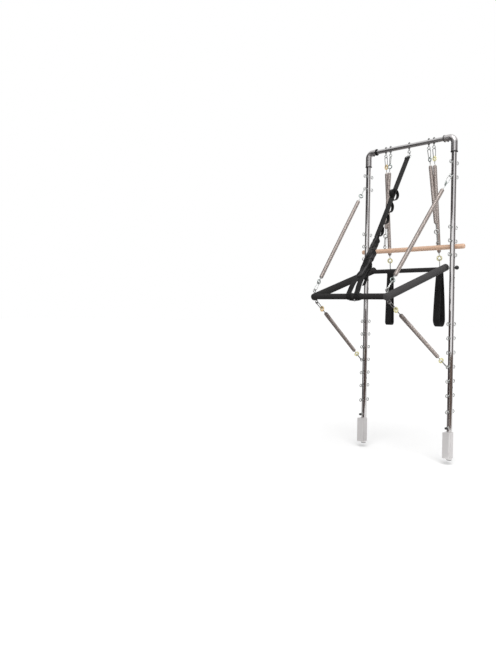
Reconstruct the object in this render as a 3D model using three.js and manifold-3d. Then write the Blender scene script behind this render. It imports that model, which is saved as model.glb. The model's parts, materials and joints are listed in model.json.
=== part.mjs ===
import * as THREE from "three";
import { mergeVertices } from "three/addons/utils/BufferGeometryUtils.js";
import Module from "manifold-3d";

// Pilates tower unit, in millimetres. X runs across, from the left upright to the right one, Y to the rear
// and Z up. The origin lies midway between the uprights, level with the bottom of the brackets that clamp them.

// Clearances and cutting
const seatGap = 0.3; // between pieces that touch
const overrun = 2; // how far a cutter runs past the face that it cuts
const weld = 0.001; // vertices nearer than this are one

// Fineness of round shapes, as counts
const tubeSides = 12;
const pinSides = 6;
const shankSides = 4;
const wireSides = 5;
const eyeSteps = 6;
const loopSides = 4; // of the wire of rings and hooks
const bendSteps = 4;
const stepsPerCurl = 8;
const flareSteps = 3; // steps in which a curl leaves the spring's axis
const arcSteps = 4;
const foldSteps = 2;
const ballSides = 10;

// Uprights
const uprightSpacing = 630; // between their axes
const uprightDiameter = 32;
const uprightWall = 2;
const uprightFoot = 10; // below the brackets
const uprightSeat = 48; // up inside the elbow

// Crossbar and elbows
const crossbarHeight = 1912;
const crossbarDiameter = 28;
const crossbarWall = 2;
const crossbarSeat = 36; // inside the elbow
const elbowDiameter = 40;
const elbowReach = 68; // from the upright's axis to the end of the sleeve on the crossbar
const elbowDrop = 92; // from the crossbar's axis to the end of the sleeve on the upright
const elbowBend = 32;
const collarWidth = 6;
const collarStep = 1.8;
const setScrewDiameter = 9;
const setScrewStand = 6;
const setScrewInset = 26;

// Eye bolts
const eyeRadius = 9.5; // of the ring's wire centre
const eyeWire = 5;
const eyeReach = 39; // from a tube's axis to the ring's centre
const boltDiameter = 7;
const nutDiameter = 13;
const nutHeight = 6;
const boltTip = 3;

// Levels of the eye bolts through the uprights
const lowestEyeHeight = 272;
const lowestEyeStep = 96;
const eyePitch = 85;
const lowerEyeCount = 6; // above the lowest one
const middleEyeRise = 78; // of the lowest of them above the pivot
const middleEyePitch = 82;
const middleEyeCount = 3;
const topEyeDrop = 153; // of the highest one below the crossbar's axis
const topEyeCount = 2;
const lowerSpringEye = 2; // counted up among the lower eyes above the lowest one

// Pin holes across the uprights and the pivot of the push-through bar
const pivotHeight = 1128;
const pinHolePitch = 60;
const pinHolesAbove = 1;
const pinHolesBelow = 2;
const lowPinHoleHeight = 417;
const pinDiameter = 7.5;
const pinTipInset = 10; // of the pin's tip from the arm's axis
const pinCollarDiameter = 14;
const pinCollarLength = 6;
const ballDiameter = 25;
const ballStand = 14; // of the ball's centre from the upright

// Eye bolts in the crossbar, from its middle
const innerEyePlace = 141;
const outerEyePlace = 177;

// Brackets, foot plugs and lock knobs
const bracketHeight = 152;
const bracketWidth = 44;
const bracketFront = 42; // from the upright's axis
const grooveWidth = 6;
const grooveDepth = 3;
const groovePlace = 24; // from the upright's axis
const plugFlange = 3;
const plugDepth = 15;
const lockKnobHeight = 178;
const lockBossDiameter = 16;
const lockBossLength = 10;
const lockStudDiameter = 7;
const lockStudDepth = 6; // inside the tube
const lockKnobDiameter = 20;
const lockKnobLength = 18;
const lockKnobReach = 50; // from the upright's axis to the knob's face
const lobeCount = 5;
const stepsPerLobe = 4;
const lobeRise = 1.4;

// Push-through bar
const armSpacing = 524;
const armLength = 598; // from the pivot to the front bar
const armSlope = (18.4 * Math.PI) / 180; // down to the front
const armTail = 28;
const armNose = 21; // beyond the front bar's axis
const armNoseRound = 16;
const armTube = 27;
const armGrip = 43;
const frontTube = 25;
const frontGrip = 34;
const rearTube = 19;
const rearGrip = 27;
const rearBarPlace = 30; // ahead of the pivot
const barWall = 2;
const bushDiameter = 20;
const bushStand = 1.5; // proud of the foam
const cornerEyeSetback = 5; // behind the front bar's axis
const cornerEyeReach = 35;

// Snap hooks, rings and springs
const hookLength = 60.6; // between the centres of its end wires
const hookWire = 5;
const hookWideHalf = 10;
const hookNarrowHalf = 7.5;
const hookBowShare = 0.4; // of a half width, for the straight step at an end
const hookShoulderShare = 0.8;
const springRingRadius = 10.5;
const springRingWire = 5;
const springNeck = 27;
const springDiameter = 24;
const springWire = 8;
const upperSpringCurls = 9;
const lowerSpringCurls = 6;
const barSpringCurls = 6;
const loopSpringCurls = 8;

// Roll-down bar
const rollBarLength = 752;
const rollBarDiameter = 30;
const rollBarRound = 9;
const rollBarDrop = 655; // of its axis below the crossbar's
const rollEyePlace = 195; // from the middle
const rollScrewDepth = 18;

// Hand loops
const loopPlace = 183; // from the middle
const loopRingDrop = 776; // below the crossbar's axis, to where the hook bears on the ring
const loopRingWidth = 58;
const loopRingDepth = 25;
const loopRingWire = 5;
const loopRingBowShare = 0.5; // of its depth, where the bow turns down
const loopBehind = 81; // of the uprights' plane
const loopWidth = 46;
const loopThickness = 4;
const handLoopLength = 338; // from the ring's straight wire to the bottom
const loopBottomRadius = 22;

// Safety strap
const strapWidth = 34;
const strapThickness = 5;
const strapPlace = 35; // of its lower end from the bar's middle
const strapHookLength = 24;
const slideLength = 13; // of the frame that the webbing is folded over
const slideWire = 5;
const strapLoopStart = 293; // from the wire that the hook bears on
const strapLoopPitch = 98;
const strapLoopLength = 80;
const strapLoopWidth = 32;
const strapLoopRise = 22;
const strapLoopWeb = 3;
const tabLength = 48;
const tabStand = 24;
const tabWidth = 28;
const bundleLength = 278;
const bundleStand = 125; // of its lower end above the bar
const bundleSag = 14; // of its top behind the straight line
const bundleThickness = 44;
const bundleWidth = 60;
const legWidth = 24;
const legSpread = 27;
const bandWall = 4;
const tailLength = 62;
const tailWidth = 20;

// The packs that the spare webbing is folded into: start and end as shares of the bundle's length, then
// thickness and width as shares of its own
const packShares = [
  [0, 0.32, 0.5, 0.6],
  [0.3, 0.65, 0.78, 0.75],
  [0.62, 1, 1, 1],
];

const wasm = await Module();
wasm.setup();

const acrossAxis = new THREE.Vector3(1, 0, 0);
const rearAxis = new THREE.Vector3(0, 1, 0);
const upAxis = new THREE.Vector3(0, 0, 1);

const at = (x, y, z) => new THREE.Vector3(x, y, z);
const along = (point, direction, distance) => point.clone().addScaledVector(direction, distance);
// A bore round a bar with as many flats, and one round a bar that turns in it.
const seatRadius = (radius, sides) => radius + seatGap / Math.cos(Math.PI / sides);
const runningRadius = (radius, sides) => (radius + seatGap) / Math.cos(Math.PI / sides);

// A closed geometry as a solid that can be joined and cut.
function solidOf(geometry) {
  const bare = geometry.clone();
  bare.deleteAttribute("normal");
  bare.deleteAttribute("uv");
  const merged = mergeVertices(bare, weld);
  const index = merged.index.array;
  const kept = [];
  for (let i = 0; i < index.length; i += 3) {
    const [a, b, c] = index.slice(i, i + 3);
    if (a !== b && b !== c && c !== a) kept.push(a, b, c);
  }
  return new wasm.Manifold(
    new wasm.Mesh({
      numProp: 3,
      vertProperties: merged.attributes.position.array,
      triVerts: new Uint32Array(kept),
    }),
  );
}

function geometryOf(solid) {
  const mesh = solid.getMesh();
  return new THREE.BufferGeometry()
    .setAttribute("position", new THREE.BufferAttribute(mesh.vertProperties, 3))
    .setIndex(new THREE.BufferAttribute(mesh.triVerts, 1));
}

const joined = (solids) => solids.reduce((whole, piece) => whole.add(piece));
const cut = (solid, cutters) => cutters.reduce((left, cutter) => left.subtract(cutter), solid);

// A round bar between two points.
function rod(from, to, radius, sides) {
  const geometry = new THREE.CylinderGeometry(radius, radius, from.distanceTo(to), sides);
  geometry.rotateY(Math.PI / sides);
  const direction = to.clone().sub(from).normalize();
  geometry.applyQuaternion(new THREE.Quaternion().setFromUnitVectors(rearAxis, direction));
  const middle = from.clone().lerp(to, 1 / 2);
  return solidOf(geometry.translate(middle.x, middle.y, middle.z));
}

// A ring of wire about a centre, with one of its straight steps square to the shank that carries it.
function ring(centre, normal, shank, radius, wire) {
  const side = normal.clone().cross(shank);
  const corners = Array.from({ length: eyeSteps }, (_, i) => {
    const turn = (2 * Math.PI * (i + 1 / 2)) / eyeSteps;
    return along(along(centre, shank, radius * Math.cos(turn)), side, radius * Math.sin(turn));
  });
  return wireLoop(corners, normal, wire);
}

// From a ring's centre to its wire: at the middle of a step, and at an angle from the shank.
const ringStep = (radius) => radius * Math.cos(Math.PI / eyeSteps);

function ringWireAt(radius, angle) {
  const step = (2 * Math.PI) / eyeSteps;
  return ringStep(radius) / Math.cos(angle - step * Math.round(angle / step));
}

// A profile of [radius, distance] points turned about an axis through a point.
function turned(profile, from, axis, sides) {
  const points = profile.map(([radius, distance]) => new THREE.Vector2(radius, distance));
  const geometry = new THREE.LatheGeometry(points, sides);
  geometry.rotateY(Math.PI / sides);
  geometry.applyQuaternion(new THREE.Quaternion().setFromUnitVectors(rearAxis, axis));
  return solidOf(geometry.translate(from.x, from.y, from.z));
}

// A flat outline pushed along an axis: the outline's own x and y follow the two directions given.
function pushed(shape, length, centre, outlineX, outlineY, segments) {
  const settings = { depth: length, bevelEnabled: false, curveSegments: segments };
  const geometry = new THREE.ExtrudeGeometry(shape, settings);
  const depthAxis = outlineX.clone().cross(outlineY);
  geometry.translate(0, 0, -length / 2);
  geometry.applyMatrix4(new THREE.Matrix4().makeBasis(outlineX, outlineY, depthAxis));
  return solidOf(geometry.translate(centre.x, centre.y, centre.z));
}

// A closed loop of wire through the corners of a flat outline, given anticlockwise about a normal.
function wireLoop(corners, normal, wire) {
  const count = corners.length;
  const positions = [];
  const index = [];
  const outward = (from, to) => to.clone().sub(from).cross(normal).normalize();
  corners.forEach((corner, i) => {
    const before = outward(corners[(i + count - 1) % count], corner);
    const after = outward(corner, corners[(i + 1) % count]);
    const mitre = before.clone().add(after).divideScalar(1 + before.dot(after));
    positions.push(
      ...along(corner, mitre, wire / 2).toArray(),
      ...along(corner, normal, wire / 2).toArray(),
      ...along(corner, mitre, -wire / 2).toArray(),
      ...along(corner, normal, -wire / 2).toArray(),
    );
    for (let k = 0; k < loopSides; k++) {
      const a = i * loopSides + k;
      const b = i * loopSides + ((k + 1) % loopSides);
      const next = (i + 1 === count ? -i : 1) * loopSides;
      index.push(a, b + next, b, a, a + next, b + next);
    }
  });
  return solidOf(
    new THREE.BufferGeometry()
      .setAttribute("position", new THREE.Float32BufferAttribute(positions, 3))
      .setIndex(index),
  );
}

// A round bar or wire with closed ends along a list of points, as one body.
function wireAlong(points, wire, sides) {
  const last = points.length - 1;
  const positions = [];
  const index = [];
  const side = new THREE.Vector3();
  const tangent = new THREE.Vector3();
  points.forEach((point, i) => {
    tangent.subVectors(points[Math.min(i + 1, last)], points[Math.max(i - 1, 0)]).normalize();
    if (i === 0) side.copy(Math.abs(tangent.x) < Math.SQRT1_2 ? acrossAxis : rearAxis);
    side.addScaledVector(tangent, -side.dot(tangent)).normalize();
    const other = tangent.clone().cross(side);
    for (let k = 0; k < sides; k++) {
      const turn = (2 * Math.PI * (k + 1 / 2)) / sides;
      const rim = along(point, side, (Math.cos(turn) * wire) / 2);
      positions.push(...along(rim, other, (Math.sin(turn) * wire) / 2).toArray());
    }
  });
  for (let i = 0; i < last; i++) {
    for (let k = 0; k < sides; k++) {
      const a = i * sides + k;
      const b = i * sides + ((k + 1) % sides);
      index.push(a, b, b + sides, a, b + sides, a + sides);
    }
  }
  const end = last * sides;
  for (let k = 1; k < sides - 1; k++) {
    index.push(0, k + 1, k, end, end + k, end + k + 1);
  }
  return solidOf(
    new THREE.BufferGeometry()
      .setAttribute("position", new THREE.Float32BufferAttribute(positions, 3))
      .setIndex(index),
  );
}

// Colours, roughness and metalness of the finishes
const finishes = {
  chrome: { color: 0xc9c7c6, roughness: 0.12, metalness: 1 },
  springSteel: { color: 0x9a8f86, roughness: 0.4, metalness: 0.9 },
  aluminium: { color: 0xb9b6b4, roughness: 0.45, metalness: 0.8 },
  blackPlastic: { color: 0x161616, roughness: 0.5, metalness: 0 },
  foam: { color: 0x303132, roughness: 0.95, metalness: 0 },
  webbing: { color: 0x1c1c1e, roughness: 0.9, metalness: 0 },
  beech: { color: 0xd9ad8c, roughness: 0.55, metalness: 0 },
};

const tower = new THREE.Group();

function put(name, solid, finish) {
  const material = new THREE.MeshStandardMaterial(finishes[finish]);
  const mesh = new THREE.Mesh(geometryOf(solid), material);
  mesh.name = name;
  tower.add(mesh);
}

// Portal frame

const crossbarEnd = uprightSpacing / 2 - elbowReach + crossbarSeat;
const uprightTop = crossbarHeight - elbowDrop + uprightSeat;
const uprightRadius = uprightDiameter / 2;
const sides = [
  { name: "left", sign: -1 },
  { name: "right", sign: 1 },
];

const levels = (first, pitch, count) => Array.from({ length: count }, (_, i) => first + pitch * i);
const lowerEyes = levels(lowestEyeHeight + lowestEyeStep, eyePitch, lowerEyeCount);
const topEyeHeight = crossbarHeight - topEyeDrop;
const topEyes = levels(topEyeHeight - eyePitch * (topEyeCount - 1), eyePitch, topEyeCount);
const eyeHeights = [
  lowestEyeHeight,
  ...lowerEyes,
  ...levels(pivotHeight + middleEyeRise, middleEyePitch, middleEyeCount),
  ...topEyes,
];
const pinHoleHeights = [
  lowPinHoleHeight,
  ...levels(
    pivotHeight - pinHolePitch * pinHolesBelow,
    pinHolePitch,
    pinHolesBelow + 1 + pinHolesAbove,
  ),
];

const shankReach = eyeReach - ringStep(eyeRadius); // from a tube's axis to the wire of the ring

const eye = (centre, normal, shank) => ring(centre, normal, shank, eyeRadius, eyeWire);

// An eye bolt that goes right through an upright, with a ring in front and one behind.
function throughEyeBolt(x, z) {
  return joined([
    rod(at(x, -shankReach, z), at(x, shankReach, z), boltDiameter / 2, shankSides),
    eye(at(x, -eyeReach, z), acrossAxis, rearAxis),
    eye(at(x, eyeReach, z), acrossAxis, rearAxis),
  ]);
}

function upright(sign) {
  const x = (sign * uprightSpacing) / 2;
  const bore = uprightRadius - uprightWall;
  const tube = cut(rod(at(x, 0, -uprightFoot), at(x, 0, uprightTop), uprightRadius, tubeSides), [
    rod(at(x, 0, -uprightFoot - overrun), at(x, 0, uprightTop + overrun), bore, tubeSides),
    rod(
      at(x, -uprightRadius - overrun, lockKnobHeight),
      at(x, 0, lockKnobHeight),
      runningRadius(lockStudDiameter / 2, pinSides),
      pinSides,
    ),
  ]);
  const drills = pinHoleHeights.map((z) =>
    rod(
      at(x - uprightRadius - overrun, 0, z),
      at(x + uprightRadius + overrun, 0, z),
      runningRadius(pinDiameter / 2, pinSides),
      pinSides,
    ),
  );
  return cut(joined([tube, ...eyeHeights.map((z) => throughEyeBolt(x, z))]), drills);
}

function crossbar() {
  const radius = crossbarDiameter / 2;
  const bar = (end, r) => rod(at(-end, 0, crossbarHeight), at(end, 0, crossbarHeight), r, tubeSides);
  const drills = crossbarEyePlaces.map((x) =>
    rod(
      at(x, 0, crossbarHeight - radius - overrun),
      at(x, 0, crossbarHeight + radius + overrun),
      seatRadius(boltDiameter / 2, shankSides),
      shankSides,
    ),
  );
  return cut(bar(crossbarEnd, radius), [bar(crossbarEnd + overrun, radius - crossbarWall), ...drills]);
}

// A bent fitting with a blind socket for the crossbar and one for the upright.
function elbow(sign) {
  const x = (sign * uprightSpacing) / 2;
  const mouthX = x - sign * elbowReach;
  const mouthZ = crossbarHeight - elbowDrop;
  const radius = elbowDiameter / 2;
  const bendX = at(x - sign * elbowBend, 0, crossbarHeight);
  const bendZ = at(x, 0, crossbarHeight - elbowBend);
  const bend = new THREE.QuadraticBezierCurve3(bendX, at(x, 0, crossbarHeight), bendZ);
  const route = [at(mouthX, 0, crossbarHeight), ...bend.getPoints(bendSteps), at(x, 0, mouthZ)];
  const collarRadius = radius + collarStep;
  const screwX = mouthX + sign * setScrewInset;
  const body = joined([
    wireAlong(route, elbowDiameter, tubeSides),
    rod(
      at(mouthX, 0, crossbarHeight),
      at(mouthX + sign * collarWidth, 0, crossbarHeight),
      collarRadius,
      tubeSides,
    ),
    rod(at(x, 0, mouthZ), at(x, 0, mouthZ + collarWidth), collarRadius, tubeSides),
    rod(
      at(screwX, 0, crossbarHeight),
      at(screwX, 0, crossbarHeight - radius - setScrewStand),
      setScrewDiameter / 2,
      pinSides,
    ),
  ]);
  return cut(body, [
    rod(
      at(mouthX - sign * overrun, 0, crossbarHeight),
      at(sign * (crossbarEnd + seatGap), 0, crossbarHeight),
      seatRadius(crossbarDiameter / 2, tubeSides),
      tubeSides,
    ),
    rod(
      at(x, 0, mouthZ - overrun),
      at(x, 0, uprightTop + seatGap),
      seatRadius(uprightRadius, tubeSides),
      tubeSides,
    ),
  ]);
}

// A clamp of extruded section: square in front, where it is mounted, and round behind the upright.
function bracket(sign) {
  const half = bracketWidth / 2;
  const notch = [
    [half, -groovePlace - grooveWidth],
    [half - grooveDepth, -groovePlace - grooveWidth],
    [half - grooveDepth, -groovePlace],
    [half, -groovePlace],
  ];
  const shape = new THREE.Shape();
  shape.moveTo(-half, -bracketFront);
  shape.lineTo(half, -bracketFront);
  notch.forEach(([x, y]) => shape.lineTo(x, y));
  shape.lineTo(half, 0);
  shape.absarc(0, 0, half, 0, Math.PI);
  notch.toReversed().forEach(([x, y]) => shape.lineTo(-x, y));
  const centre = at((sign * uprightSpacing) / 2, 0, bracketHeight / 2);
  const bore = seatRadius(uprightRadius, tubeSides);
  return cut(pushed(shape, bracketHeight, centre, acrossAxis, rearAxis, arcSteps), [
    rod(at(centre.x, 0, -overrun), at(centre.x, 0, bracketHeight + overrun), bore, tubeSides),
  ]);
}

function footPlug(sign) {
  const x = (sign * uprightSpacing) / 2;
  const seat = -uprightFoot - seatGap;
  const spigot = uprightRadius - uprightWall - seatGap / Math.cos(Math.PI / tubeSides);
  return joined([
    rod(at(x, 0, seat - plugFlange), at(x, 0, seat), uprightRadius, tubeSides),
    rod(at(x, 0, seat), at(x, 0, seat + plugDepth), spigot, tubeSides),
  ]);
}

// A lobed knob on a stud that clamps the upright's foot.
function lockKnob(sign) {
  const x = (sign * uprightSpacing) / 2;
  const outline = new THREE.Shape();
  const steps = lobeCount * stepsPerLobe;
  for (let i = 0; i < steps; i++) {
    const turn = (2 * Math.PI * i) / steps;
    const radius = lockKnobDiameter / 2 - lobeRise + lobeRise * Math.cos(lobeCount * turn);
    const place = [radius * Math.cos(turn), radius * Math.sin(turn)];
    if (i === 0) outline.moveTo(...place);
    else outline.lineTo(...place);
  }
  const knobMiddle = at(x, -lockKnobReach + lockKnobLength / 2, lockKnobHeight);
  const seat = -uprightRadius - seatGap;
  const onAxis = (y) => at(x, y, lockKnobHeight);
  return joined([
    pushed(outline, lockKnobLength, knobMiddle, acrossAxis, upAxis, 1),
    rod(onAxis(seat), onAxis(seat - lockBossLength), lockBossDiameter / 2, tubeSides),
    rod(
      onAxis(-uprightRadius + lockStudDepth),
      onAxis(-lockKnobReach + lockKnobLength),
      lockStudDiameter / 2,
      pinSides,
    ),
  ]);
}

// An eye bolt down through the crossbar, with its nut on top.
function crossbarEye(x) {
  const nutSeat = crossbarHeight + crossbarDiameter / 2 + seatGap;
  const onAxis = (z) => at(x, 0, z);
  return joined([
    eye(onAxis(crossbarHeight - eyeReach), rearAxis, upAxis),
    rod(
      onAxis(crossbarHeight - shankReach),
      onAxis(nutSeat + nutHeight + boltTip),
      boltDiameter / 2,
      shankSides,
    ),
    rod(onAxis(nutSeat), onAxis(nutSeat + nutHeight), nutDiameter / 2, pinSides),
  ]);
}

const crossbarEyePlaces = [-outerEyePlace, -innerEyePlace, 0, innerEyePlace, outerEyePlace];

sides.forEach(({ name, sign }) => {
  put("upright_" + name, upright(sign), "chrome");
  put("elbow_" + name, elbow(sign), "chrome");
  put("bracket_" + name, bracket(sign), "aluminium");
  put("foot_plug_" + name, footPlug(sign), "blackPlastic");
  put("lock_knob_" + name, lockKnob(sign), "blackPlastic");
});
put("crossbar", crossbar(), "chrome");
crossbarEyePlaces.forEach((x, i) => {
  put("crossbar_eye_" + (i + 1), crossbarEye(x), "chrome");
});

// Push-through bar

const armForward = at(0, -Math.cos(armSlope), -Math.sin(armSlope));
const armUpward = at(0, -Math.sin(armSlope), Math.cos(armSlope));
const armPlace = armSpacing / 2;

// A place on the bar: across, forward of the pivot along the arms, and square to them.
function onBar(x, forward, above) {
  return along(along(at(x, 0, pivotHeight), armForward, forward), armUpward, above);
}

function pushBarFrame() {
  const armFrontEnd = armLength + frontTube / 2;
  const arm = (sign, from, to, radius) =>
    rod(onBar(sign * armPlace, from, 0), onBar(sign * armPlace, to, 0), radius, tubeSides);
  const cross = (forward, radius) =>
    rod(onBar(-armPlace, forward, 0), onBar(armPlace, forward, 0), radius, tubeSides);
  const bushEnd = armPlace + armGrip / 2 + bushStand;
  const tubes = [cross(armLength, frontTube / 2), cross(rearBarPlace, rearTube / 2)];
  const bores = [
    cross(armLength, frontTube / 2 - barWall),
    cross(rearBarPlace, rearTube / 2 - barWall),
  ];
  sides.forEach(({ sign }) => {
    tubes.push(
      arm(sign, -armTail, armFrontEnd, armTube / 2),
      rod(onBar(sign * armPlace, 0, 0), onBar(sign * bushEnd, 0, 0), bushDiameter / 2, tubeSides),
    );
    bores.push(
      arm(sign, -armTail - overrun, armFrontEnd - barWall, armTube / 2 - barWall),
      rod(
        onBar(sign * armPlace, 0, 0),
        onBar(sign * (bushEnd + overrun), 0, 0),
        runningRadius(pinDiameter / 2, pinSides),
        pinSides,
      ),
      cornerBoltHole(sign),
    );
  });
  return cut(joined(tubes), bores);
}

const cornerEyeForward = armLength - cornerEyeSetback;

function cornerBoltHole(sign) {
  const reach = armGrip / 2 + overrun;
  return rod(
    onBar(sign * armPlace, cornerEyeForward, -reach),
    onBar(sign * armPlace, cornerEyeForward, reach),
    seatRadius(boltDiameter / 2, shankSides),
    shankSides,
  );
}

// Foam over one arm, closed and rounded at the front.
function armFoam(sign) {
  const outer = armGrip / 2;
  const bore = seatRadius(armTube / 2, tubeSides);
  const boreEnd = armLength + frontTube / 2 + seatGap;
  const noseEnd = armLength + armNose;
  const nose = Array.from({ length: arcSteps }, (_, i) => {
    const turn = ((i + 1) / (arcSteps + 1)) * (Math.PI / 2);
    return [outer * Math.cos(turn), noseEnd - armNoseRound + armNoseRound * Math.sin(turn)];
  });
  const profile = [
    [0, boreEnd],
    [bore, boreEnd],
    [bore, -armTail],
    [outer, -armTail],
    [outer, noseEnd - armNoseRound],
    ...nose,
    [0, noseEnd],
  ];
  const x = sign * armPlace;
  const inward = x - sign * (outer + overrun);
  const outward = x + sign * (outer + overrun);
  const branch = (toX, forward, diameter) =>
    rod(
      onBar(x, forward, 0),
      onBar(toX, forward, 0),
      seatRadius(diameter / 2, tubeSides),
      tubeSides,
    );
  return cut(turned(profile, onBar(x, 0, 0), armForward, tubeSides), [
    branch(inward, armLength, frontTube),
    branch(inward, rearBarPlace, rearTube),
    branch(outward, 0, bushDiameter),
    cornerBoltHole(sign),
  ]);
}

// Foam over a cross bar, cut to the arms' foam at both ends.
function crossFoam(forward, grip, tube) {
  const span = (radius, end) => rod(onBar(-end, forward, 0), onBar(end, forward, 0), radius, tubeSides);
  const saddles = sides.map(({ sign }) =>
    rod(
      onBar(sign * armPlace, forward - grip, 0),
      onBar(sign * armPlace, forward + grip, 0),
      seatRadius(armGrip / 2, tubeSides),
      tubeSides,
    ),
  );
  const foam = span(grip / 2, armPlace);
  return cut(foam, [span(seatRadius(tube / 2, tubeSides), armPlace + overrun), ...saddles]);
}

function armPlug(sign) {
  const x = sign * armPlace;
  const seat = -armTail - seatGap;
  const spigot = armTube / 2 - barWall - seatGap / Math.cos(Math.PI / tubeSides);
  return joined([
    rod(onBar(x, seat - plugFlange, 0), onBar(x, seat, 0), armTube / 2, tubeSides),
    rod(onBar(x, seat, 0), onBar(x, seat + plugDepth, 0), spigot, tubeSides),
  ]);
}

// An eye bolt square through the front of an arm, with a ring above and one below.
function cornerEyeBolt(sign) {
  const place = (above) => onBar(sign * armPlace, cornerEyeForward, above);
  const shankEnd = cornerEyeReach - ringStep(eyeRadius);
  return joined([
    rod(place(-shankEnd), place(shankEnd), boltDiameter / 2, shankSides),
    eye(place(cornerEyeReach), acrossAxis, armUpward),
    eye(place(-cornerEyeReach), acrossAxis, armUpward),
  ]);
}

// A pull pin with a ball knob, through the upright into the arm's bush.
function pivotPin(sign) {
  const face = uprightSpacing / 2 + uprightRadius;
  const onAxis = (x) => at(sign * x, 0, pivotHeight);
  const ball = new THREE.SphereGeometry(ballDiameter / 2, ballSides, ballSides / 2);
  ball.translate(sign * (face + ballStand), 0, pivotHeight);
  return joined([
    rod(onAxis(armPlace - pinTipInset), onAxis(face + ballStand), pinDiameter / 2, pinSides),
    rod(
      onAxis(face + seatGap),
      onAxis(face + seatGap + pinCollarLength),
      pinCollarDiameter / 2,
      tubeSides,
    ),
    solidOf(ball),
  ]);
}

put("push_bar_frame", pushBarFrame(), "chrome");
put("front_grip", crossFoam(armLength, frontGrip, frontTube), "foam");
put("rear_grip", crossFoam(rearBarPlace, rearGrip, rearTube), "foam");
sides.forEach(({ name, sign }) => {
  put("arm_grip_" + name, armFoam(sign), "foam");
  put("arm_plug_" + name, armPlug(sign), "blackPlastic");
  put("corner_eye_" + name, cornerEyeBolt(sign), "chrome");
  put("pivot_pin_" + name, pivotPin(sign), "blackPlastic");
});

// Snap hooks and springs

const hookBite = (eyeWire + hookWire) / 2 + seatGap; // between the wires where a hook bears

// A pear-shaped snap hook from the wire that it bears on, along a direction, lying flat along a width.
function snapHook(bearing, direction, width, length) {
  const start = along(bearing, direction, -hookBite);
  const half = [
    [0, hookWideHalf * hookBowShare],
    [hookWideHalf * (1 - hookBowShare), hookWideHalf * hookShoulderShare],
    [hookWideHalf, hookWideHalf],
    [length - hookNarrowHalf * (1 - hookBowShare), hookNarrowHalf],
    [length, hookNarrowHalf * hookBowShare],
  ];
  const corners = [...half, ...half.map(([distance, aside]) => [distance, -aside]).toReversed()];
  const place = ([distance, aside]) => along(along(start, direction, distance), width, aside);
  return wireLoop(corners.map(place), width.clone().cross(direction), hookWire);
}

// The wire of a spring: out of its ring along the axis, round in curls, and back to the axis.
function springPath(from, to, curls) {
  const axis = to.clone().sub(from);
  const length = axis.length();
  axis.normalize();
  const side = along(rearAxis, axis, -rearAxis.dot(axis)).normalize();
  const other = axis.clone().cross(side);
  const steps = stepsPerCurl * curls;
  const meanRadius = (springDiameter - springWire) / 2;
  const points = [from.clone()];
  for (let i = 0; i <= steps; i++) {
    const turn = (2 * Math.PI * i) / stepsPerCurl;
    const radius = meanRadius * Math.min(1, i / flareSteps, (steps - i) / flareSteps);
    const centre = along(from, axis, springNeck + ((length - 2 * springNeck) * i) / steps);
    points.push(along(along(centre, side, radius * Math.cos(turn)), other, radius * Math.sin(turn)));
  }
  points.push(to.clone());
  return points;
}

// The least gap between stretches of the wire that are more than half a curl apart.
function leastGap(points) {
  let least = Infinity;
  points.forEach((a, i) => {
    points.slice(i + stepsPerCurl / 2).forEach((b) => {
      least = Math.min(least, a.distanceTo(b) - springWire);
    });
  });
  return least;
}

// A spring with its two end rings and the two snap hooks, in line between two wires that the hooks bear on.
function springLine(start, end, flat) {
  const direction = end.clone().sub(start).normalize();
  const back = direction.clone().negate();
  const normal = along(flat, direction, -flat.dot(direction)).normalize();
  const ringBearing = hookLength - hookBite - (hookWire + springRingWire) / 2 - seatGap;
  const ringPlace = ringBearing + ringStep(springRingRadius);
  const rings = [along(start, direction, ringPlace), along(end, back, ringPlace)];
  const wireStart = along(rings[0], direction, ringStep(springRingRadius));
  const wireEnd = along(rings[1], back, ringStep(springRingRadius));
  return {
    startHook: snapHook(start, direction, normal, hookLength),
    endHook: snapHook(end, back, normal, hookLength),
    spring: (curls) => {
      const path = springPath(wireStart, wireEnd, curls);
      const gap = leastGap(path).toFixed(1);
      console.log(curls + " curls, least gap of the wire to itself " + gap + " mm");
      return joined([
        wireAlong(path, springWire, wireSides),
        ...rings.map((centre) => ring(centre, normal, direction, springRingRadius, springRingWire)),
      ]);
    },
  };
}

// The wire centre of an eye, on the side that a pull comes from.
function bearingOf(centre, normal, shank, towards) {
  const pull = towards.clone().sub(centre);
  pull.addScaledVector(normal, -pull.dot(normal)).normalize();
  return along(centre, pull, ringWireAt(eyeRadius, pull.angleTo(shank)));
}

// A spring line between two eyes whose rings lie square to one normal, given the shank of each.
function betweenEyes(first, firstShank, second, secondShank, normal) {
  return springLine(
    bearingOf(first, normal, firstShank, second),
    bearingOf(second, normal, secondShank, first),
    normal,
  );
}

const rollBarHeight = crossbarHeight - rollBarDrop;
const rollBarEyeHeight = rollBarHeight + rollBarDiameter / 2 + eyeWire / 2 + eyeRadius + seatGap;
const rollBarBehind = uprightRadius + rollBarDiameter / 2 + seatGap;
const loopRingHeight = crossbarHeight - loopRingDrop;

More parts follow.
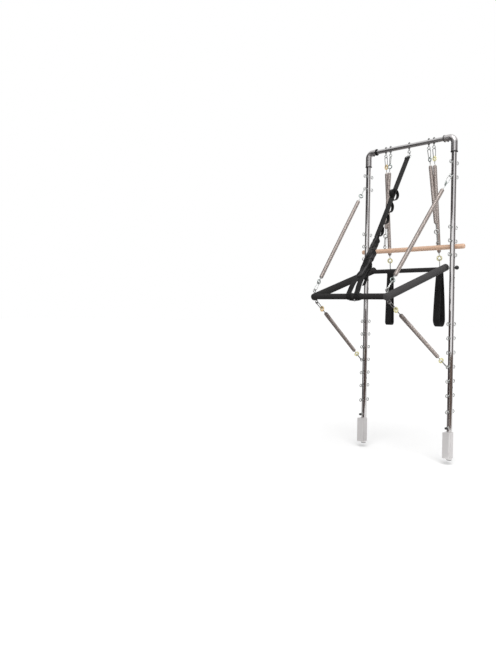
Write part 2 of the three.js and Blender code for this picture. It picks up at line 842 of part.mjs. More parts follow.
sides.forEach(({ name, sign }) => {
  const uprightX = (sign * uprightSpacing) / 2;
  const upper = betweenEyes(
    at(uprightX, -eyeReach, topEyes[0]),
    rearAxis,
    onBar(sign * armPlace, cornerEyeForward, cornerEyeReach),
    armUpward,
    acrossAxis,
  );
  put("upper_hook_" + name, upper.startHook, "chrome");
  put("upper_spring_" + name, upper.spring(upperSpringCurls), "springSteel");
  put("corner_hook_top_" + name, upper.endHook, "chrome");

  const lower = betweenEyes(
    at(uprightX, -eyeReach, lowerEyes[lowerSpringEye]),
    rearAxis,
    onBar(sign * armPlace, cornerEyeForward, -cornerEyeReach),
    armUpward,
    acrossAxis,
  );
  put("lower_hook_" + name, lower.startHook, "chrome");
  put("lower_spring_" + name, lower.spring(lowerSpringCurls), "springSteel");
  put("corner_hook_bottom_" + name, lower.endHook, "chrome");

  const hung = betweenEyes(
    at(sign * innerEyePlace, 0, crossbarHeight - eyeReach),
    upAxis,
    at(sign * rollEyePlace, rollBarBehind, rollBarEyeHeight),
    upAxis,
    rearAxis,
  );
  put("bar_spring_top_hook_" + name, hung.startHook, "chrome");
  put("bar_spring_" + name, hung.spring(barSpringCurls), "springSteel");
  put("bar_spring_bottom_hook_" + name, hung.endHook, "chrome");

  const ringBearing = at(sign * loopPlace, loopBehind, loopRingHeight);
  const eyeCentre = at(sign * outerEyePlace, 0, crossbarHeight - eyeReach);
  const eyeBearing = bearingOf(eyeCentre, rearAxis, upAxis, ringBearing);
  const looped = springLine(eyeBearing, ringBearing, rearAxis);
  put("loop_spring_top_hook_" + name, looped.startHook, "chrome");
  put("loop_spring_" + name, looped.spring(loopSpringCurls), "springSteel");
  put("loop_spring_bottom_hook_" + name, looped.endHook, "chrome");
});

// Roll-down bar

const rollBarRadius = rollBarDiameter / 2;

function rollBarScrew(sign) {
  const onAxis = (z) => at(sign * rollEyePlace, rollBarBehind, z);
  const surface = rollBarHeight + rollBarRadius;
  return joined([
    eye(onAxis(rollBarEyeHeight), rearAxis, upAxis),
    rod(
      onAxis(rollBarEyeHeight - ringStep(eyeRadius)),
      onAxis(surface - rollScrewDepth),
      boltDiameter / 2,
      shankSides,
    ),
  ]);
}

function rollBar() {
  const half = rollBarLength / 2;
  const rounded = (sign) =>
    Array.from({ length: arcSteps }, (_, i) => {
      const turn = (i / (arcSteps - 1)) * (Math.PI / 2);
      const radius = rollBarRadius - rollBarRound + rollBarRound * Math.sin(turn);
      return [radius, sign * (half - rollBarRound + rollBarRound * Math.cos(turn))];
    });
  const profile = [[0, -half], ...rounded(-1), ...rounded(1).toReversed(), [0, half]];
  const centre = at(0, rollBarBehind, rollBarHeight);
  const surface = rollBarHeight + rollBarRadius;
  const holes = sides.map(({ sign }) =>
    rod(
      at(sign * rollEyePlace, rollBarBehind, surface - rollScrewDepth - seatGap),
      at(sign * rollEyePlace, rollBarBehind, surface + overrun),
      seatRadius(boltDiameter / 2, shankSides),
      shankSides,
    ),
  );
  return cut(turned(profile, centre, acrossAxis, tubeSides), holes);
}

put("roll_down_bar", rollBar(), "beech");
sides.forEach(({ name, sign }) => {
  put("roll_bar_eye_" + name, rollBarScrew(sign), "chrome");
});

// Hand loops

const loopRingBarHeight = loopRingHeight - loopRingDepth;

// A ring with a straight bottom for the webbing and a bow for the hook.
function loopRing(sign) {
  const half = loopRingWidth / 2;
  const corner = loopRingWire;
  const bow = loopRingDepth * loopRingBowShare;
  const right = [
    [hookWideHalf / 2, loopRingHeight],
    [half - bow, loopRingHeight - bow / 2],
    [half, loopRingBarHeight + corner],
    [half - corner, loopRingBarHeight],
  ];
  const corners = [...right, ...right.map(([x, z]) => [-x, z]).toReversed()];
  const place = ([x, z]) => at(sign * loopPlace + x, loopBehind, z);
  return wireLoop(corners.map(place), rearAxis, loopRingWire);
}

// Wide webbing in a long drop shape, hung over the ring.
function handLoop(sign) {
  const topRadius = seatRadius(loopRingWire / 2, tubeSides);
  const bottomCentre = loopRingBarHeight - handLoopLength + loopBottomRadius + loopThickness;
  const drop = (path, extra) => {
    path.absarc(0, loopRingBarHeight, topRadius + extra, 0, Math.PI);
    path.absarc(0, bottomCentre, loopBottomRadius + extra, Math.PI, 2 * Math.PI);
    path.closePath();
    return path;
  };
  const outline = drop(new THREE.Shape(), loopThickness);
  outline.holes.push(drop(new THREE.Path(), 0));
  const centre = at(sign * loopPlace, loopBehind, 0);
  return pushed(outline, loopWidth, centre, rearAxis, upAxis, arcSteps);
}

sides.forEach(({ name, sign }) => {
  put("loop_ring_" + name, loopRing(sign), "chrome");
  put("hand_loop_" + name, handLoop(sign), "webbing");
});

// Safety strap

const strapFoot = onBar(strapPlace, armLength, frontGrip / 2);
const strapEye = at(0, 0, crossbarHeight - eyeReach);
const strapBearing = bearingOf(strapEye, rearAxis, upAxis, strapFoot);

// A place on a straight stretch of webbing: along it, aside and behind it.
function stretch(from, to) {
  const line = to.clone().sub(from).normalize();
  const across = along(acrossAxis, line, -line.x).normalize();
  const behind = across.clone().cross(line);
  const place = (distance, aside, back) =>
    along(along(along(from, line, distance), across, aside), behind, back);
  return { line, across, behind, place };
}

const taut = stretch(strapBearing, strapFoot);
const bundleStart = strapBearing.distanceTo(strapFoot) - bundleStand - bundleLength;
const bundleTop = taut.place(bundleStart, 0, bundleSag);
const loopSpacing = strapLoopPitch - strapLoopLength; // between one loop and the next
const strapLoopCount = Math.floor((bundleStart + loopSpacing - strapLoopStart) / strapLoopPitch);
const upperStrap = stretch(strapBearing, bundleTop);
const lowerStrap = stretch(bundleTop, strapFoot);

// A flat strip between two points.
function strip(from, to, width, thickness, widthAxis) {
  const line = to.clone().sub(from);
  const geometry = new THREE.BoxGeometry(line.length(), width, thickness);
  line.normalize();
  const wide = along(widthAxis, line, -widthAxis.dot(line)).normalize();
  geometry.applyMatrix4(new THREE.Matrix4().makeBasis(line, wide, line.clone().cross(wide)));
  const middle = from.clone().lerp(to, 1 / 2);
  return solidOf(geometry.translate(middle.x, middle.y, middle.z));
}

// The side view of one loop sewn on the strap's rear: a band that arches up and comes down again.
function loopOutline(start) {
  const outline = new THREE.Shape();
  const end = start + strapLoopLength;
  const crown = start + strapLoopLength / 2;
  const inside = strapLoopRise - strapLoopWeb;
  outline.moveTo(start, 0);
  outline.quadraticCurveTo(start, strapLoopRise, crown, strapLoopRise);
  outline.quadraticCurveTo(end, strapLoopRise, end, 0);
  outline.lineTo(end - strapLoopWeb, 0);
  outline.quadraticCurveTo(end - strapLoopWeb, inside, crown, inside);
  outline.quadraticCurveTo(start + strapLoopWeb, inside, start + strapLoopWeb, 0);
  return outline;
}

// The side view of one pack of folded webbing, full towards its lower end.
function packOutline(start, end, thickness) {
  const outline = new THREE.Shape();
  const fullest = end - thickness / 2;
  outline.moveTo(start, -strapThickness / 2);
  outline.lineTo(end, -strapThickness / 2);
  outline.quadraticCurveTo(end, thickness, fullest, thickness);
  outline.quadraticCurveTo(start, thickness, start, strapThickness);
  return outline;
}

const slideNear = strapHookLength - hookBite + hookWire - seatGap; // its upper wire, fused to the hook's
const slideFar = slideNear + slideLength;

function strapHook() {
  const half = strapWidth / 2 + slideWire / 2 + seatGap;
  const corners = [
    [slideNear, half],
    [slideNear, -half],
    [slideFar, -half],
    [slideFar, half],
  ];
  const slide = corners.map(([distance, aside]) => upperStrap.place(distance, aside, 0));
  const normal = upperStrap.behind.clone().negate();
  const { line, behind } = upperStrap;
  return joined([
    snapHook(strapBearing, line, behind, strapHookLength),
    wireLoop(slide, normal, slideWire),
  ]);
}

function safetyStrap() {
  const upper = upperStrap.place;
  const lower = lowerStrap.place;
  const sweep = ({ place, line, behind }, outline, width) =>
    pushed(outline, width, place(0, 0, 0), line, behind, foldSteps);
  const fold = (radius, half) =>
    rod(upper(slideFar, -half, 0), upper(slideFar, half, 0), radius, tubeSides);
  const foldBore = seatRadius(slideWire / 2, tubeSides);
  const barAxis = (x) => onBar(x, armLength, 0);
  const bandRadius = seatRadius(frontGrip / 2, tubeSides);
  const tailTop = lower(bundleLength - tailWidth, bundleWidth / 2 - tailWidth / 2, bundleThickness / 2);
  const pieces = [
    fold(foldBore + strapThickness, strapWidth / 2),
    strip(upper(slideFar, 0, 0), bundleTop, strapWidth, strapThickness, acrossAxis),
    strip(
      upper(strapLoopStart, 0, 0),
      upper(strapLoopStart + tabLength, 0, -tabStand),
      tabWidth,
      strapThickness,
      acrossAxis,
    ),
    ...levels(strapLoopStart, strapLoopPitch, strapLoopCount).map((start) =>
      sweep(upperStrap, loopOutline(start), strapLoopWidth),
    ),
    ...packShares.map(([startShare, endShare, thicknessShare, widthShare]) =>
      sweep(
        lowerStrap,
        packOutline(
          bundleLength * startShare,
          bundleLength * endShare,
          bundleThickness * thicknessShare,
        ),
        bundleWidth * widthShare,
      ),
    ),
    strip(tailTop, along(tailTop, upAxis, -tailLength), tailWidth, strapThickness, acrossAxis),
    strip(
      onBar(strapPlace - legSpread, armLength, -bandRadius - bandWall / 2),
      onBar(strapPlace + legSpread, armLength, -bandRadius - bandWall / 2),
      legWidth / 2,
      bandWall,
      armForward,
    ),
  ];
  [-1, 1].forEach((sign) => {
    const x = strapPlace + sign * legSpread;
    pieces.push(
      strip(
        lower(bundleLength - legWidth, (sign * (bundleWidth - legWidth)) / 2, 0),
        onBar(x, armLength, bandRadius + bandWall / 2),
        legWidth,
        strapThickness,
        acrossAxis,
      ),
      rod(barAxis(x - legWidth / 2), barAxis(x + legWidth / 2), bandRadius + bandWall, tubeSides),
    );
  });
  return cut(joined(pieces), [
    fold(foldBore, strapWidth / 2 + overrun),
    rod(
      barAxis(strapPlace - legSpread - legWidth),
      barAxis(strapPlace + legSpread + legWidth),
      bandRadius,
      tubeSides,
    ),
  ]);
}

put("strap_hook", strapHook(), "chrome");
put("safety_strap", safetyStrap(), "webbing");

export default tower;
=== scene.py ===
"""Looks of a pilates tower unit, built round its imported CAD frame. Lengths are in metres."""

import json
import math

import bmesh
import bpy
import numpy as np
from bpy.props import FloatProperty, FloatVectorProperty, PointerProperty
from mathutils import Euler, Matrix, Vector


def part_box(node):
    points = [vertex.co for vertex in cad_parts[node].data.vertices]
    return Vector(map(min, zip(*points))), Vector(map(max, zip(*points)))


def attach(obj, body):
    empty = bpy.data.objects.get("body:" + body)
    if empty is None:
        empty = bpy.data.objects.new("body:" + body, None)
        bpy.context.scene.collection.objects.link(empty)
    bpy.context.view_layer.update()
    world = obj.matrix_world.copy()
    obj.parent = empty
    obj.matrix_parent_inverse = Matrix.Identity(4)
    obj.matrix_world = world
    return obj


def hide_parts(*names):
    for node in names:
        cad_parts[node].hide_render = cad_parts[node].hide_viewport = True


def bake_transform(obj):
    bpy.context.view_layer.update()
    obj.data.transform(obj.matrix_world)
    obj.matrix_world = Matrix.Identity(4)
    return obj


bl_info = {
    "name": "Pilates Tower Unit",
    "version": (1, 0, 0),
    "blender": (4, 5, 0),
    "location": "View3D > Sidebar > Tower",
    "description": "Dresses a packed tower frame with its tubes, springs, grips and webbing",
    "category": "Object",
}

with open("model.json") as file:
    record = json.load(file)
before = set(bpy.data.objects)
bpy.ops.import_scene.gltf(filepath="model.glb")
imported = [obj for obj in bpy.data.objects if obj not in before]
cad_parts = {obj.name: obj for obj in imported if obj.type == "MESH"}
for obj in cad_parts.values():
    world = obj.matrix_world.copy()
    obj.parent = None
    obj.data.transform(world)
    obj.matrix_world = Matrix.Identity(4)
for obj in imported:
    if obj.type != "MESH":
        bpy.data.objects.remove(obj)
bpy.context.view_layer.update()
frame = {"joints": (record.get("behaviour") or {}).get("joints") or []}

SIDES = (("left", -1), ("right", 1))
ACROSS, REAR, UP = np.eye(3)
TOWER = "tower_frame"
BAR = "push_through_bar"
ROLL = "roll_down_bar"
SWING = "loop_spring_"


def at(x, y, z):
    return np.array((x, y, z), float)


def unit(vector):
    return vector / np.linalg.norm(vector)


def middle(node):
    """The middle of a CAD node's box."""
    low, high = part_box(node)
    return np.array((low + high) / 2)


# Fineness of round shapes, in steps round
TUBE_STEPS = 64
COLLAR_STEPS = 40
WASHER_STEPS = 32
WIRE_STEPS = 16
HOOK_STEPS = 12
LOOP_STEPS = 48
HOLE_STEPS = 24

# Fits and edges
GAP = 0.0003
SUNK = 0.0004
LOOSE = 0.0004
WELD = 1e-7
FINE_BEVEL = 0.0002
BRACKET_BEVEL = 0.0005

# Portal frame
UPRIGHT_X = middle("bracket_right")[0]
FOOT_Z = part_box("upright_right")[0].z
HEAD_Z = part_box("upright_right")[1].z
UPRIGHT_RADIUS = 0.016
TUBE_WALL = 0.002
TUBE_EDGE = 0.0006
CROSSBAR_Z = middle("crossbar")[2]
CROSSBAR_RADIUS = 0.014
CROSSBAR_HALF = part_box("crossbar")[1].x
PIVOT = np.array(next(j for j in frame["joints"] if j["name"] == "push_bar_pivot")["pos_m"])
PIN_HOLE_HEIGHTS = (0.417, 1.008, 1.068, 1.128, 1.188)
PIN_HOLE_RADIUS = 0.0041
PIN_HOLE_MARGIN = 0.007
DRILL_REACH = 0.03
HOLE_OVERRUN = 0.01
ELBOW_RADIUS = 0.020
ELBOW_REACH = 0.068
ELBOW_DROP = 0.092
ELBOW_BEND = 0.032
COLLAR_WIDTH = 0.006
COLLAR_STEP = 0.0018
COLLAR_DEPTH = 0.004
SET_SCREW_RADIUS = 0.0045
SET_SCREW_STAND = 0.006
SET_SCREW_INSET = 0.026
SET_SCREW_SUNK = 0.0015
SET_SCREW_RIM = 0.002

# Eye bolts
EYE_RADIUS = 0.0095
EYE_WIRE = 0.005
EYE_REACH = 0.039
SHANK_RADIUS = 0.0033
NUT_ACROSS = 0.0125
NUT_HEIGHT = 0.0055
WASHER_RADIUS = 0.0078
WASHER_HEIGHT = 0.0012
THREAD_PITCH = 0.001
THREAD_DEPTH = 0.00035
CROSSBAR_THREAD = 0.0093
CROSSBAR_EYES = tuple(middle(f"crossbar_eye_{i}")[0] for i in range(1, 6))
EYE_ROWS = ((0.272, 0, 1), (0.368, 0.085, 6), (1.206, 0.082, 3), (1.674, 0.085, 2))
EYE_HEIGHTS = tuple(start + pitch * i for start, pitch, count in EYE_ROWS for i in range(count))
LOWER_SPRING_EYE = EYE_HEIGHTS[3]
UPPER_SPRING_EYE = EYE_HEIGHTS[10]

# Brackets, plugs and knobs
BRACKET_HALF = 0.022
BRACKET_FRONT = 0.042
BRACKET_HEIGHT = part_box("bracket_right")[1].z
BRACKET_LIP = 0.0015
GROOVE_PLACE = 0.024
GROOVE_WIDTH = 0.006
GROOVE_DEPTH = 0.003
FLANGE = 0.003
PLUG_DEPTH = 0.018
LOCK_KNOB_Z = middle("lock_knob_right")[2]
LOCK_KNOB_FRONT = 0.046
LOCK_KNOB_LENGTH = 0.014
LOCK_KNOB_RADIUS = 0.008
LOCK_KNOB_RISE = 0.0012
LOCK_KNOB_LOBES = 5
LOCK_KNOB_SHARES = ((0, 0.72), (0.03, 0.86), (0.1, 0.96), (0.2, 1), (0.8, 1), (0.92, 0.95), (1, 0.8))
STUD_SUNK = 0.006
STUD_OVERLAP = 0.001
BALL_RADIUS = 0.0125
BALL_STAND = 0.014
BALL_TURNS = (math.radians(12), math.radians(158))
PIN_RADIUS = 0.00375
PIN_ROUND = 0.001
PIN_INSET = 0.010

# Rims of the plugs, as (step in from the tube's radius, distance)
FOOT_PLUG_RIM = ((0.006, 0), (0.002, 0), (0, FLANGE / 2), (0, FLANGE))
ARM_PLUG_RIM = ((0.004, 0), (0.0012, 0.0004), (0, FLANGE / 2), (0, FLANGE))

# Profiles of small turned fittings, as (radius, distance)
PIN_COLLAR = ((0.007, GAP), (0.0072, 0.001), (0.0072, 0.003), (0.0055, 0.0045), (0.005, 0.0063))
KNOB_BOSS = (
    (0.0082, -0.0008), (0.0082, 0.001), (0.0075, 0.0025), (0.0075, 0.0085), (0.0068, 0.01), (0.0042, 0.01)
)
CORNER_COLLAR = ((0.0075, 0), (0.0075, 0.001), (0.0055, 0.0022))
SCREW_COLLAR = ((0.0068, -SUNK), (0.0068, 0.0006), (0.005, 0.0016))

# Push-through bar
ARM_X = 0.262
ARM_LENGTH = 0.598
ARM_SLOPE = math.radians(18.4)
ARM_FORWARD = at(0, -math.cos(ARM_SLOPE), -math.sin(ARM_SLOPE))
ARM_UPWARD = at(0, -math.sin(ARM_SLOPE), math.cos(ARM_SLOPE))
ARM_TAILS = {"left": 0.011, "right": 0.021}
ARM_NOSE = 0.021
ARM_TUBE = 0.0135
ARM_TUBE_NOSE = 0.01
ARM_GRIP = 0.0215
ARM_GRIP_ROUNDS = (0.003, 0.012)
# The left arm takes a darker copy of the arm foam, as painted shade
ARM_FINISHES = {"left": "left arm foam", "right": "arm foam"}
FRONT_GRIP = 0.017
REAR_GRIP = 0.0135
BAR_GRIP_ROUND = 0.001
BAR_GRIP_OVERLAP = 0.006
REAR_BAR_PLACE = 0.030
BUSH_RADIUS = 0.010
BUSH_STEP = 0.002
BUSH_SUNK = 0.003
BUSH_WIDTH = 0.0045
CORNER_EYE_PLACE = ARM_LENGTH - 0.005
CORNER_EYE_REACH = 0.035
CORNER_EYE_TURNS = {"left": (0, 0), "right": (-15, -32)}
CORNER_COLLAR_SUNK = 0.0006

# Hooks, rings and springs
HOOK_LENGTH = 0.0606
HOOK_WIRE = 0.005
HOOK_WIDE = 0.010
HOOK_NARROW = 0.0075
BITE = (EYE_WIRE + HOOK_WIRE) / 2 + GAP
GATE_SHARES = (0.14, 0.86)
GATE_GAPS = (0.02, 0.01)
GATE_RADIUS = HOOK_WIRE * 0.42
GATE_ROUND = HOOK_WIRE * 0.2
PIVOT_SHARE = 0.05
RIVET_RADIUS = 0.0011
RING_RADIUS = 0.0125
RING_WIRE = 0.0068
SOFT_RING_WIRE = 0.0098
SPRING_RADIUS = 0.012
COIL_END_LENGTH = 0.009
COIL_END_SHARE = 0.42
STEM_SUNK = 0.0008
# A stem's profile, as (radius, share of its length, distance past that share)
STEM_NECK = ((0.0030, 0, 0), (0.0024, 0.25, 0), (0.0022, 1, -0.004), (0.0040, 1, -0.002))
STEM_CAP = ((0.0058, 1, 0), (0.0062, 1, 0.004), (0.0060, 1, 0.008))

# Roll-down bar and hand loops
ROLL_BAR = middle("roll_down_bar")
ROLL_BAR_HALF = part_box("roll_down_bar")[1].x
ROLL_BAR_RADIUS = 0.015
ROLL_BAR_ROUND = 0.009
ROLL_EYE_X = 0.195
ROLL_EYE_Z = ROLL_BAR[2] + ROLL_BAR_RADIUS + EYE_WIRE / 2 + EYE_RADIUS + GAP
SCREW_DEPTH = 0.018
SCREW_LENGTH = 0.0205
GRAIN_SCALE = (1.2, 30.0, 30.0)
LOOP_X = middle("hand_loop_right")[0]
LOOP_Y = middle("loop_ring_right")[1]
LOOP_RING_Z = 1.136
LOOP_RING_DEPTH = 0.025
LOOP_RING_HALF = 0.029
LOOP_RING_CROWN = 0.004
LOOP_RING_ROUND = 0.0032
LOOP_BAR_Z = LOOP_RING_Z - LOOP_RING_DEPTH
LOOP_WIDTH = 0.044
LOOP_THICKNESS = 0.0036
LOOP_BOTTOM_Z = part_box("hand_loop_right")[0].z
LOOP_BOTTOM_RADII = {"left": 0.0175, "right": 0.041}
LOOP_TWISTS = {"left": 9.0, "right": 11.0}
OVERLAP_ROWS = slice(17, 25)
OVERLAP_INSET = 0.004
OVERLAP_SEAM_INSET = 0.006
LOOP_SLACK = 0.0005
FLAT_WIRE_RADIUS = 0.0025

# Safety strap
STRAP_X = 0.035
STRAP_WIDTH = 0.038
PLY = 0.0024
PACKS_LENGTH = 0.403
STRAP_KNEE = 0.004
STRAP_HOOK_LENGTH = 0.0265
SLIDE_NEAR = 0.0235
SLIDE_FAR = SLIDE_NEAR + 0.013
SLIDE_MARGIN = 0.0028
SLIDE_ROUND = 0.0035
SEAM_NEAR = SLIDE_FAR + 0.014
SEAM_FAR = SLIDE_FAR + 0.05
SEAM_START = SLIDE_FAR + 0.012
SEAM_END_MARGIN = 0.03
PLY_GAP = 0.0001
LOOP_STARTS = (0.293, 0.391, 0.480, 0.576)
LOOP_LENGTH = 0.080
LOOP_RISES = (0.036, 0.033, 0.032, 0.027)
LOOP_WEB = 0.022
LOOP_PLY = PLY * 1.5
LOOP_LEAN = 0.03
LOOP_SEAMS = (-0.003, 0, LOOP_LENGTH + 0.001, LOOP_LENGTH + 0.004)
LOOP_SEAM_INSET = 0.002
TAB_RISES = (0.025, 0.018, 0.011)
TAB_LENGTHS = (0.052, 0.042, 0.032)
TAB_STARTS = (0.306, 0.311, 0.316)
TAB_WIDTH = 0.025
TAB_PLY = PLY * 1.3
TAIL_WIDTH = 0.022
TAIL_PLACES = ((0.240, 0.012, 0.018), (0.276, 0.024, 0.022), (0.310, 0.034, 0.018), (0.345, 0.040, 0.012))
LEG_WIDTH = 0.037
LEG_SPREAD = 0.0275
LEG_TOPS = {
    "left": ((0.225, -0.016, 0.010), (0.265, -0.024, 0.001)),
    "right": ((0.225, 0.016, 0.010), (0.265, 0.018, 0.001)),
}
LEG_BOWS = {"left": -0.0025, "right": 0.0065}
LEG_BOW_PLACE = 0.07
LEG_STRAIGHT = 0.02
LEG_RISE = 0.75
LEG_PLY = PLY * 1.2
STRAP_RING_RADIUS = 0.0036
STRAP_RING_WIRE = 0.0016
STRAP_RING_PLACE = (0.003, 0.0095, 0.0055)
BRIDGE_HALF = 0.036
BRIDGE_SAG = 0.0022
BRIDGE_WIDTH = 0.016
KEEPER_WIDTH = 0.010
KEEPER_PLY = PLY * 0.8
KEEPER_ROUND = 0.007
KEEPER_FRONT = 0.0035
PACK_FRONT = 0.009
# Each pack's start and end below the knee, its width and depth, its waists and its seed
PACKS = (
    ("upper", -0.014, 0.093, 0.038, 0.032, (0.5, 0.3), 3),
    ("middle", 0.080, 0.168, 0.046, 0.042, (0.5, 0.3), 8),
    ("lower", 0.152, 0.292, 0.057, 0.044, (0.6, 0.4), 5),
)
# Each keeper's place below the knee, its width and its depth
KEEPERS = (("upper", 0.087, 0.028, 0.020), ("lower", 0.163, 0.033, 0.026))


# Shapes


class Form:
    """The points, faces and corner UVs of a piece, gathered before they become a mesh."""

    def __init__(self):
        self.points = []
        self.faces = []
        self.uvs = []
        # Painted light at each point, for the webbing's finish: painted highlights and painted shade
        self.relief = []

    def grid(self, rows, loop=False):
        """Rows of points joined by quads, each row a closed ring. A loop joins the last row to the first."""
        rows = np.asarray(rows, float)
        count, width = rows.shape[:2]
        first = len(self.points)
        self.points.extend(rows.reshape(-1, 3).tolist())
        centres = rows.mean(axis=1)
        u, v = (
            np.concatenate(([0], np.cumsum(np.linalg.norm(np.roll(line, -1, 0) - line, axis=1))))
            for line in (rows[0], centres)
        )
        for i in range(count if loop else count - 1):
            near = first + i * width
            far = first + (i + 1) % count * width
            for j in range(width):
                k = (j + 1) % width
                self.faces.append((near + j, near + k, far + k, far + j))
                self.uvs.append(((u[j], v[i]), (u[j + 1], v[i]), (u[j + 1], v[i + 1]), (u[j], v[i + 1])))
        if not loop:
            self.cap(range(first + width - 1, first - 1, -1))
            self.cap(range(first + (count - 1) * width, first + count * width))
        return self

    def cap(self, corners):
        self.faces.append(tuple(corners))
        self.uvs.append(((0.0, 0.0),) * len(corners))

    def join(self, other):
        shift = len(self.points)
        self.points.extend(other.points)
        self.faces.extend(tuple(i + shift for i in face) for face in other.faces)
        self.uvs.extend(other.uvs)
        return self


def joined(forms):
    whole = Form()
    for form in forms:
        whole.join(form)
    return whole


def full_turn(steps):
    return np.linspace(0, 2 * math.pi, steps, endpoint=False)


def arc(centre, radius, start, side, turns):
    """Points about a centre, at turns counted from one direction towards another."""
    return centre + radius * (np.cos(turns)[:, None] * start + np.sin(turns)[:, None] * side)


def carried(path, side, loop):
    """The sideways and upward axes at each point of a path, carried along it without twist."""
    onward = np.roll(path, -1, 0) - np.roll(path, 1, 0) if loop else np.gradient(path, axis=0)
    onward = onward / np.linalg.norm(onward, axis=1)[:, None]
    sideways = np.empty_like(onward)
    for i, tangent in enumerate(onward):
        side = unit(side - tangent * (side @ tangent))
        sideways[i] = side
    return sideways, np.cross(onward, sideways)


def swept(path, section, side, loop=False):
    """A closed section of (sideways, upward) offsets swept along a path."""
    path = np.asarray(path, float)
    sideways, upward = carried(path, side, loop)
    rows = path[:, None] + sideways[:, None] * section[None, :, :1] + upward[:, None] * section[None, :, 1:]
    return Form().grid(rows, loop)


def circle(radius, steps=WIRE_STEPS, rise=0.0, lobes=0):
    """A round section, or one with lobes that rise from it."""
    turns = full_turn(steps)
    radii = radius - rise + rise * np.cos(lobes * turns)
    return np.stack((radii * np.cos(turns), radii * np.sin(turns)), axis=1)


def tape(width, thickness):
    """The section of flat webbing: rounded selvedges, with points across its faces for it to bend at."""
    half = width / 2 - thickness / 2
    turns = np.linspace(-math.pi / 2, math.pi / 2, 5)
    flat = np.linspace(-half, half, 7)[1:-1]
    right = [(half + thickness / 2 * math.cos(t), thickness / 2 * math.sin(t)) for t in turns]
    over = [(x, thickness / 2) for x in flat[::-1]]
    return np.array([*right, *over, *((-x, -y) for x, y in right), *((-x, -y) for x, y in over)])


def square_to(axis):
    """Two directions square to an axis and to each other."""
    side = unit(np.cross(axis, UP if abs(axis[2]) < math.sqrt(0.5) else ACROSS))
    return side, np.cross(axis, side)


def turned(profile, base, axis, steps=TUBE_STEPS, loop=False):
    """A profile of (radius, distance) turned about an axis through a base point."""
    rim = arc(0, 1, *square_to(axis), full_turn(steps) + math.pi / steps)
    return Form().grid([base + axis * distance + rim * radius for radius, distance in profile], loop)


def ring(centre, normal, radius, wire):
    """A round ring of wire."""
    path = arc(centre, radius, *square_to(normal), full_turn(LOOP_STEPS))
    return swept(path, circle(wire / 2), normal, loop=True)


def filleted(corners, radius, steps=6):
    """The corners of a closed outline, each rounded by an arc of that radius."""
    rounded = []
    for i, corner in enumerate(corners):
        before = unit(corners[i - 1] - corner)
        after = unit(corners[(i + 1) % len(corners)] - corner)
        half = math.acos(max(-1.0, min(1.0, before @ after))) / 2
        centre = corner + unit(before + after) * radius / math.sin(half)
        start, end = (corner + way * radius / math.tan(half) - centre for way in (before, after))
        sweep = math.pi - 2 * half
        for share in np.linspace(0, 1, steps + 1):
            turn = math.sin((1 - share) * sweep) * start + math.sin(share * sweep) * end
            rounded.append(centre + turn / math.sin(sweep))
    return np.array(rounded)


def rod(start, end, radius, rounds, steps=WIRE_STEPS, fineness=5, stations=0):
    """A rod between two points, with its first and last end rounded by the given lengths."""
    length = np.linalg.norm(end - start)
    first, last = rounds
    quarter = np.linspace(0, math.pi / 2, fineness)
    rise = [(radius - first * (1 - math.sin(t)), first * (1 - math.cos(t))) for t in quarter]
    straight = [(radius, s) for s in np.linspace(first, length - last, stations)[1:-1]]
    fall = [(radius - last * (1 - math.sin(t)), length - last * (1 - math.cos(t))) for t in quarter[::-1]]
    return turned(rise + straight + fall, start, unit(end - start), steps)


def smooth(points, count):
    """A curve of evenly spaced points through given ones."""
    points = np.asarray(points, float)
    padded = np.vstack((2 * points[0] - points[1], points, 2 * points[-1] - points[-2]))
    curve = []
    for i in range(1, len(padded) - 2):
        before, start, end, after = padded[i - 1 : i + 3]
        slope = end - before
        bend = 2 * before - 5 * start + 4 * end - after
        swing = 3 * start - before - 3 * end + after
        curve += [(2 * start + slope * t + bend * t**2 + swing * t**3) / 2 for t in np.arange(16) / 16]
    curve = np.array([*curve, points[-1]])
    reach = np.concatenate(([0], np.cumsum(np.linalg.norm(np.diff(curve, axis=0), axis=1))))
    stations = np.linspace(0, reach[-1], count)
    return np.stack([np.interp(stations, reach, curve[:, k]) for k in range(3)], axis=1)


# Meshes and pieces


def meshed(name, points, faces=(), edges=()):
    mesh = bpy.data.meshes.new(name)
    mesh.from_pydata(points, edges, faces)
    return mesh


def placed(name, data):
    made = bpy.data.objects.new(name, data)
    bpy.context.scene.collection.objects.link(made)
    return made


def righted(mesh, weld=0.0):
    """Turns a mesh's faces outward, after welding its points where a distance is given."""
    work = bmesh.new()
    work.from_mesh(mesh)
    if weld:
        bmesh.ops.remove_doubles(work, verts=work.verts, dist=weld)
    bmesh.ops.recalc_face_normals(work, faces=work.faces)
    work.to_mesh(mesh)
    work.free()
    return mesh


def baked(made):
    """The mesh of an object as its modifiers leave it. The object goes."""
    mesh = bpy.data.meshes.new_from_object(made.evaluated_get(bpy.context.evaluated_depsgraph_get()))
    bpy.data.objects.remove(made)
    return mesh


def drilled(form, holes):
    """A form's mesh with round holes (start, end, radius) cut through it."""
    drills = joined(
        turned([(radius, 0), (radius, np.linalg.norm(end - start))], start, unit(end - start), HOLE_STEPS)
        for start, end, radius in holes
    )
    body, drill = (
        placed("drilled", righted(meshed("drilled", made.points, made.faces))) for made in (form, drills)
    )
    cut = body.modifiers.new("Holes", "BOOLEAN")
    cut.operation = "DIFFERENCE"
    cut.solver = "EXACT"
    cut.object = drill
    mesh = baked(body)
    bpy.data.objects.remove(drill)
    return mesh


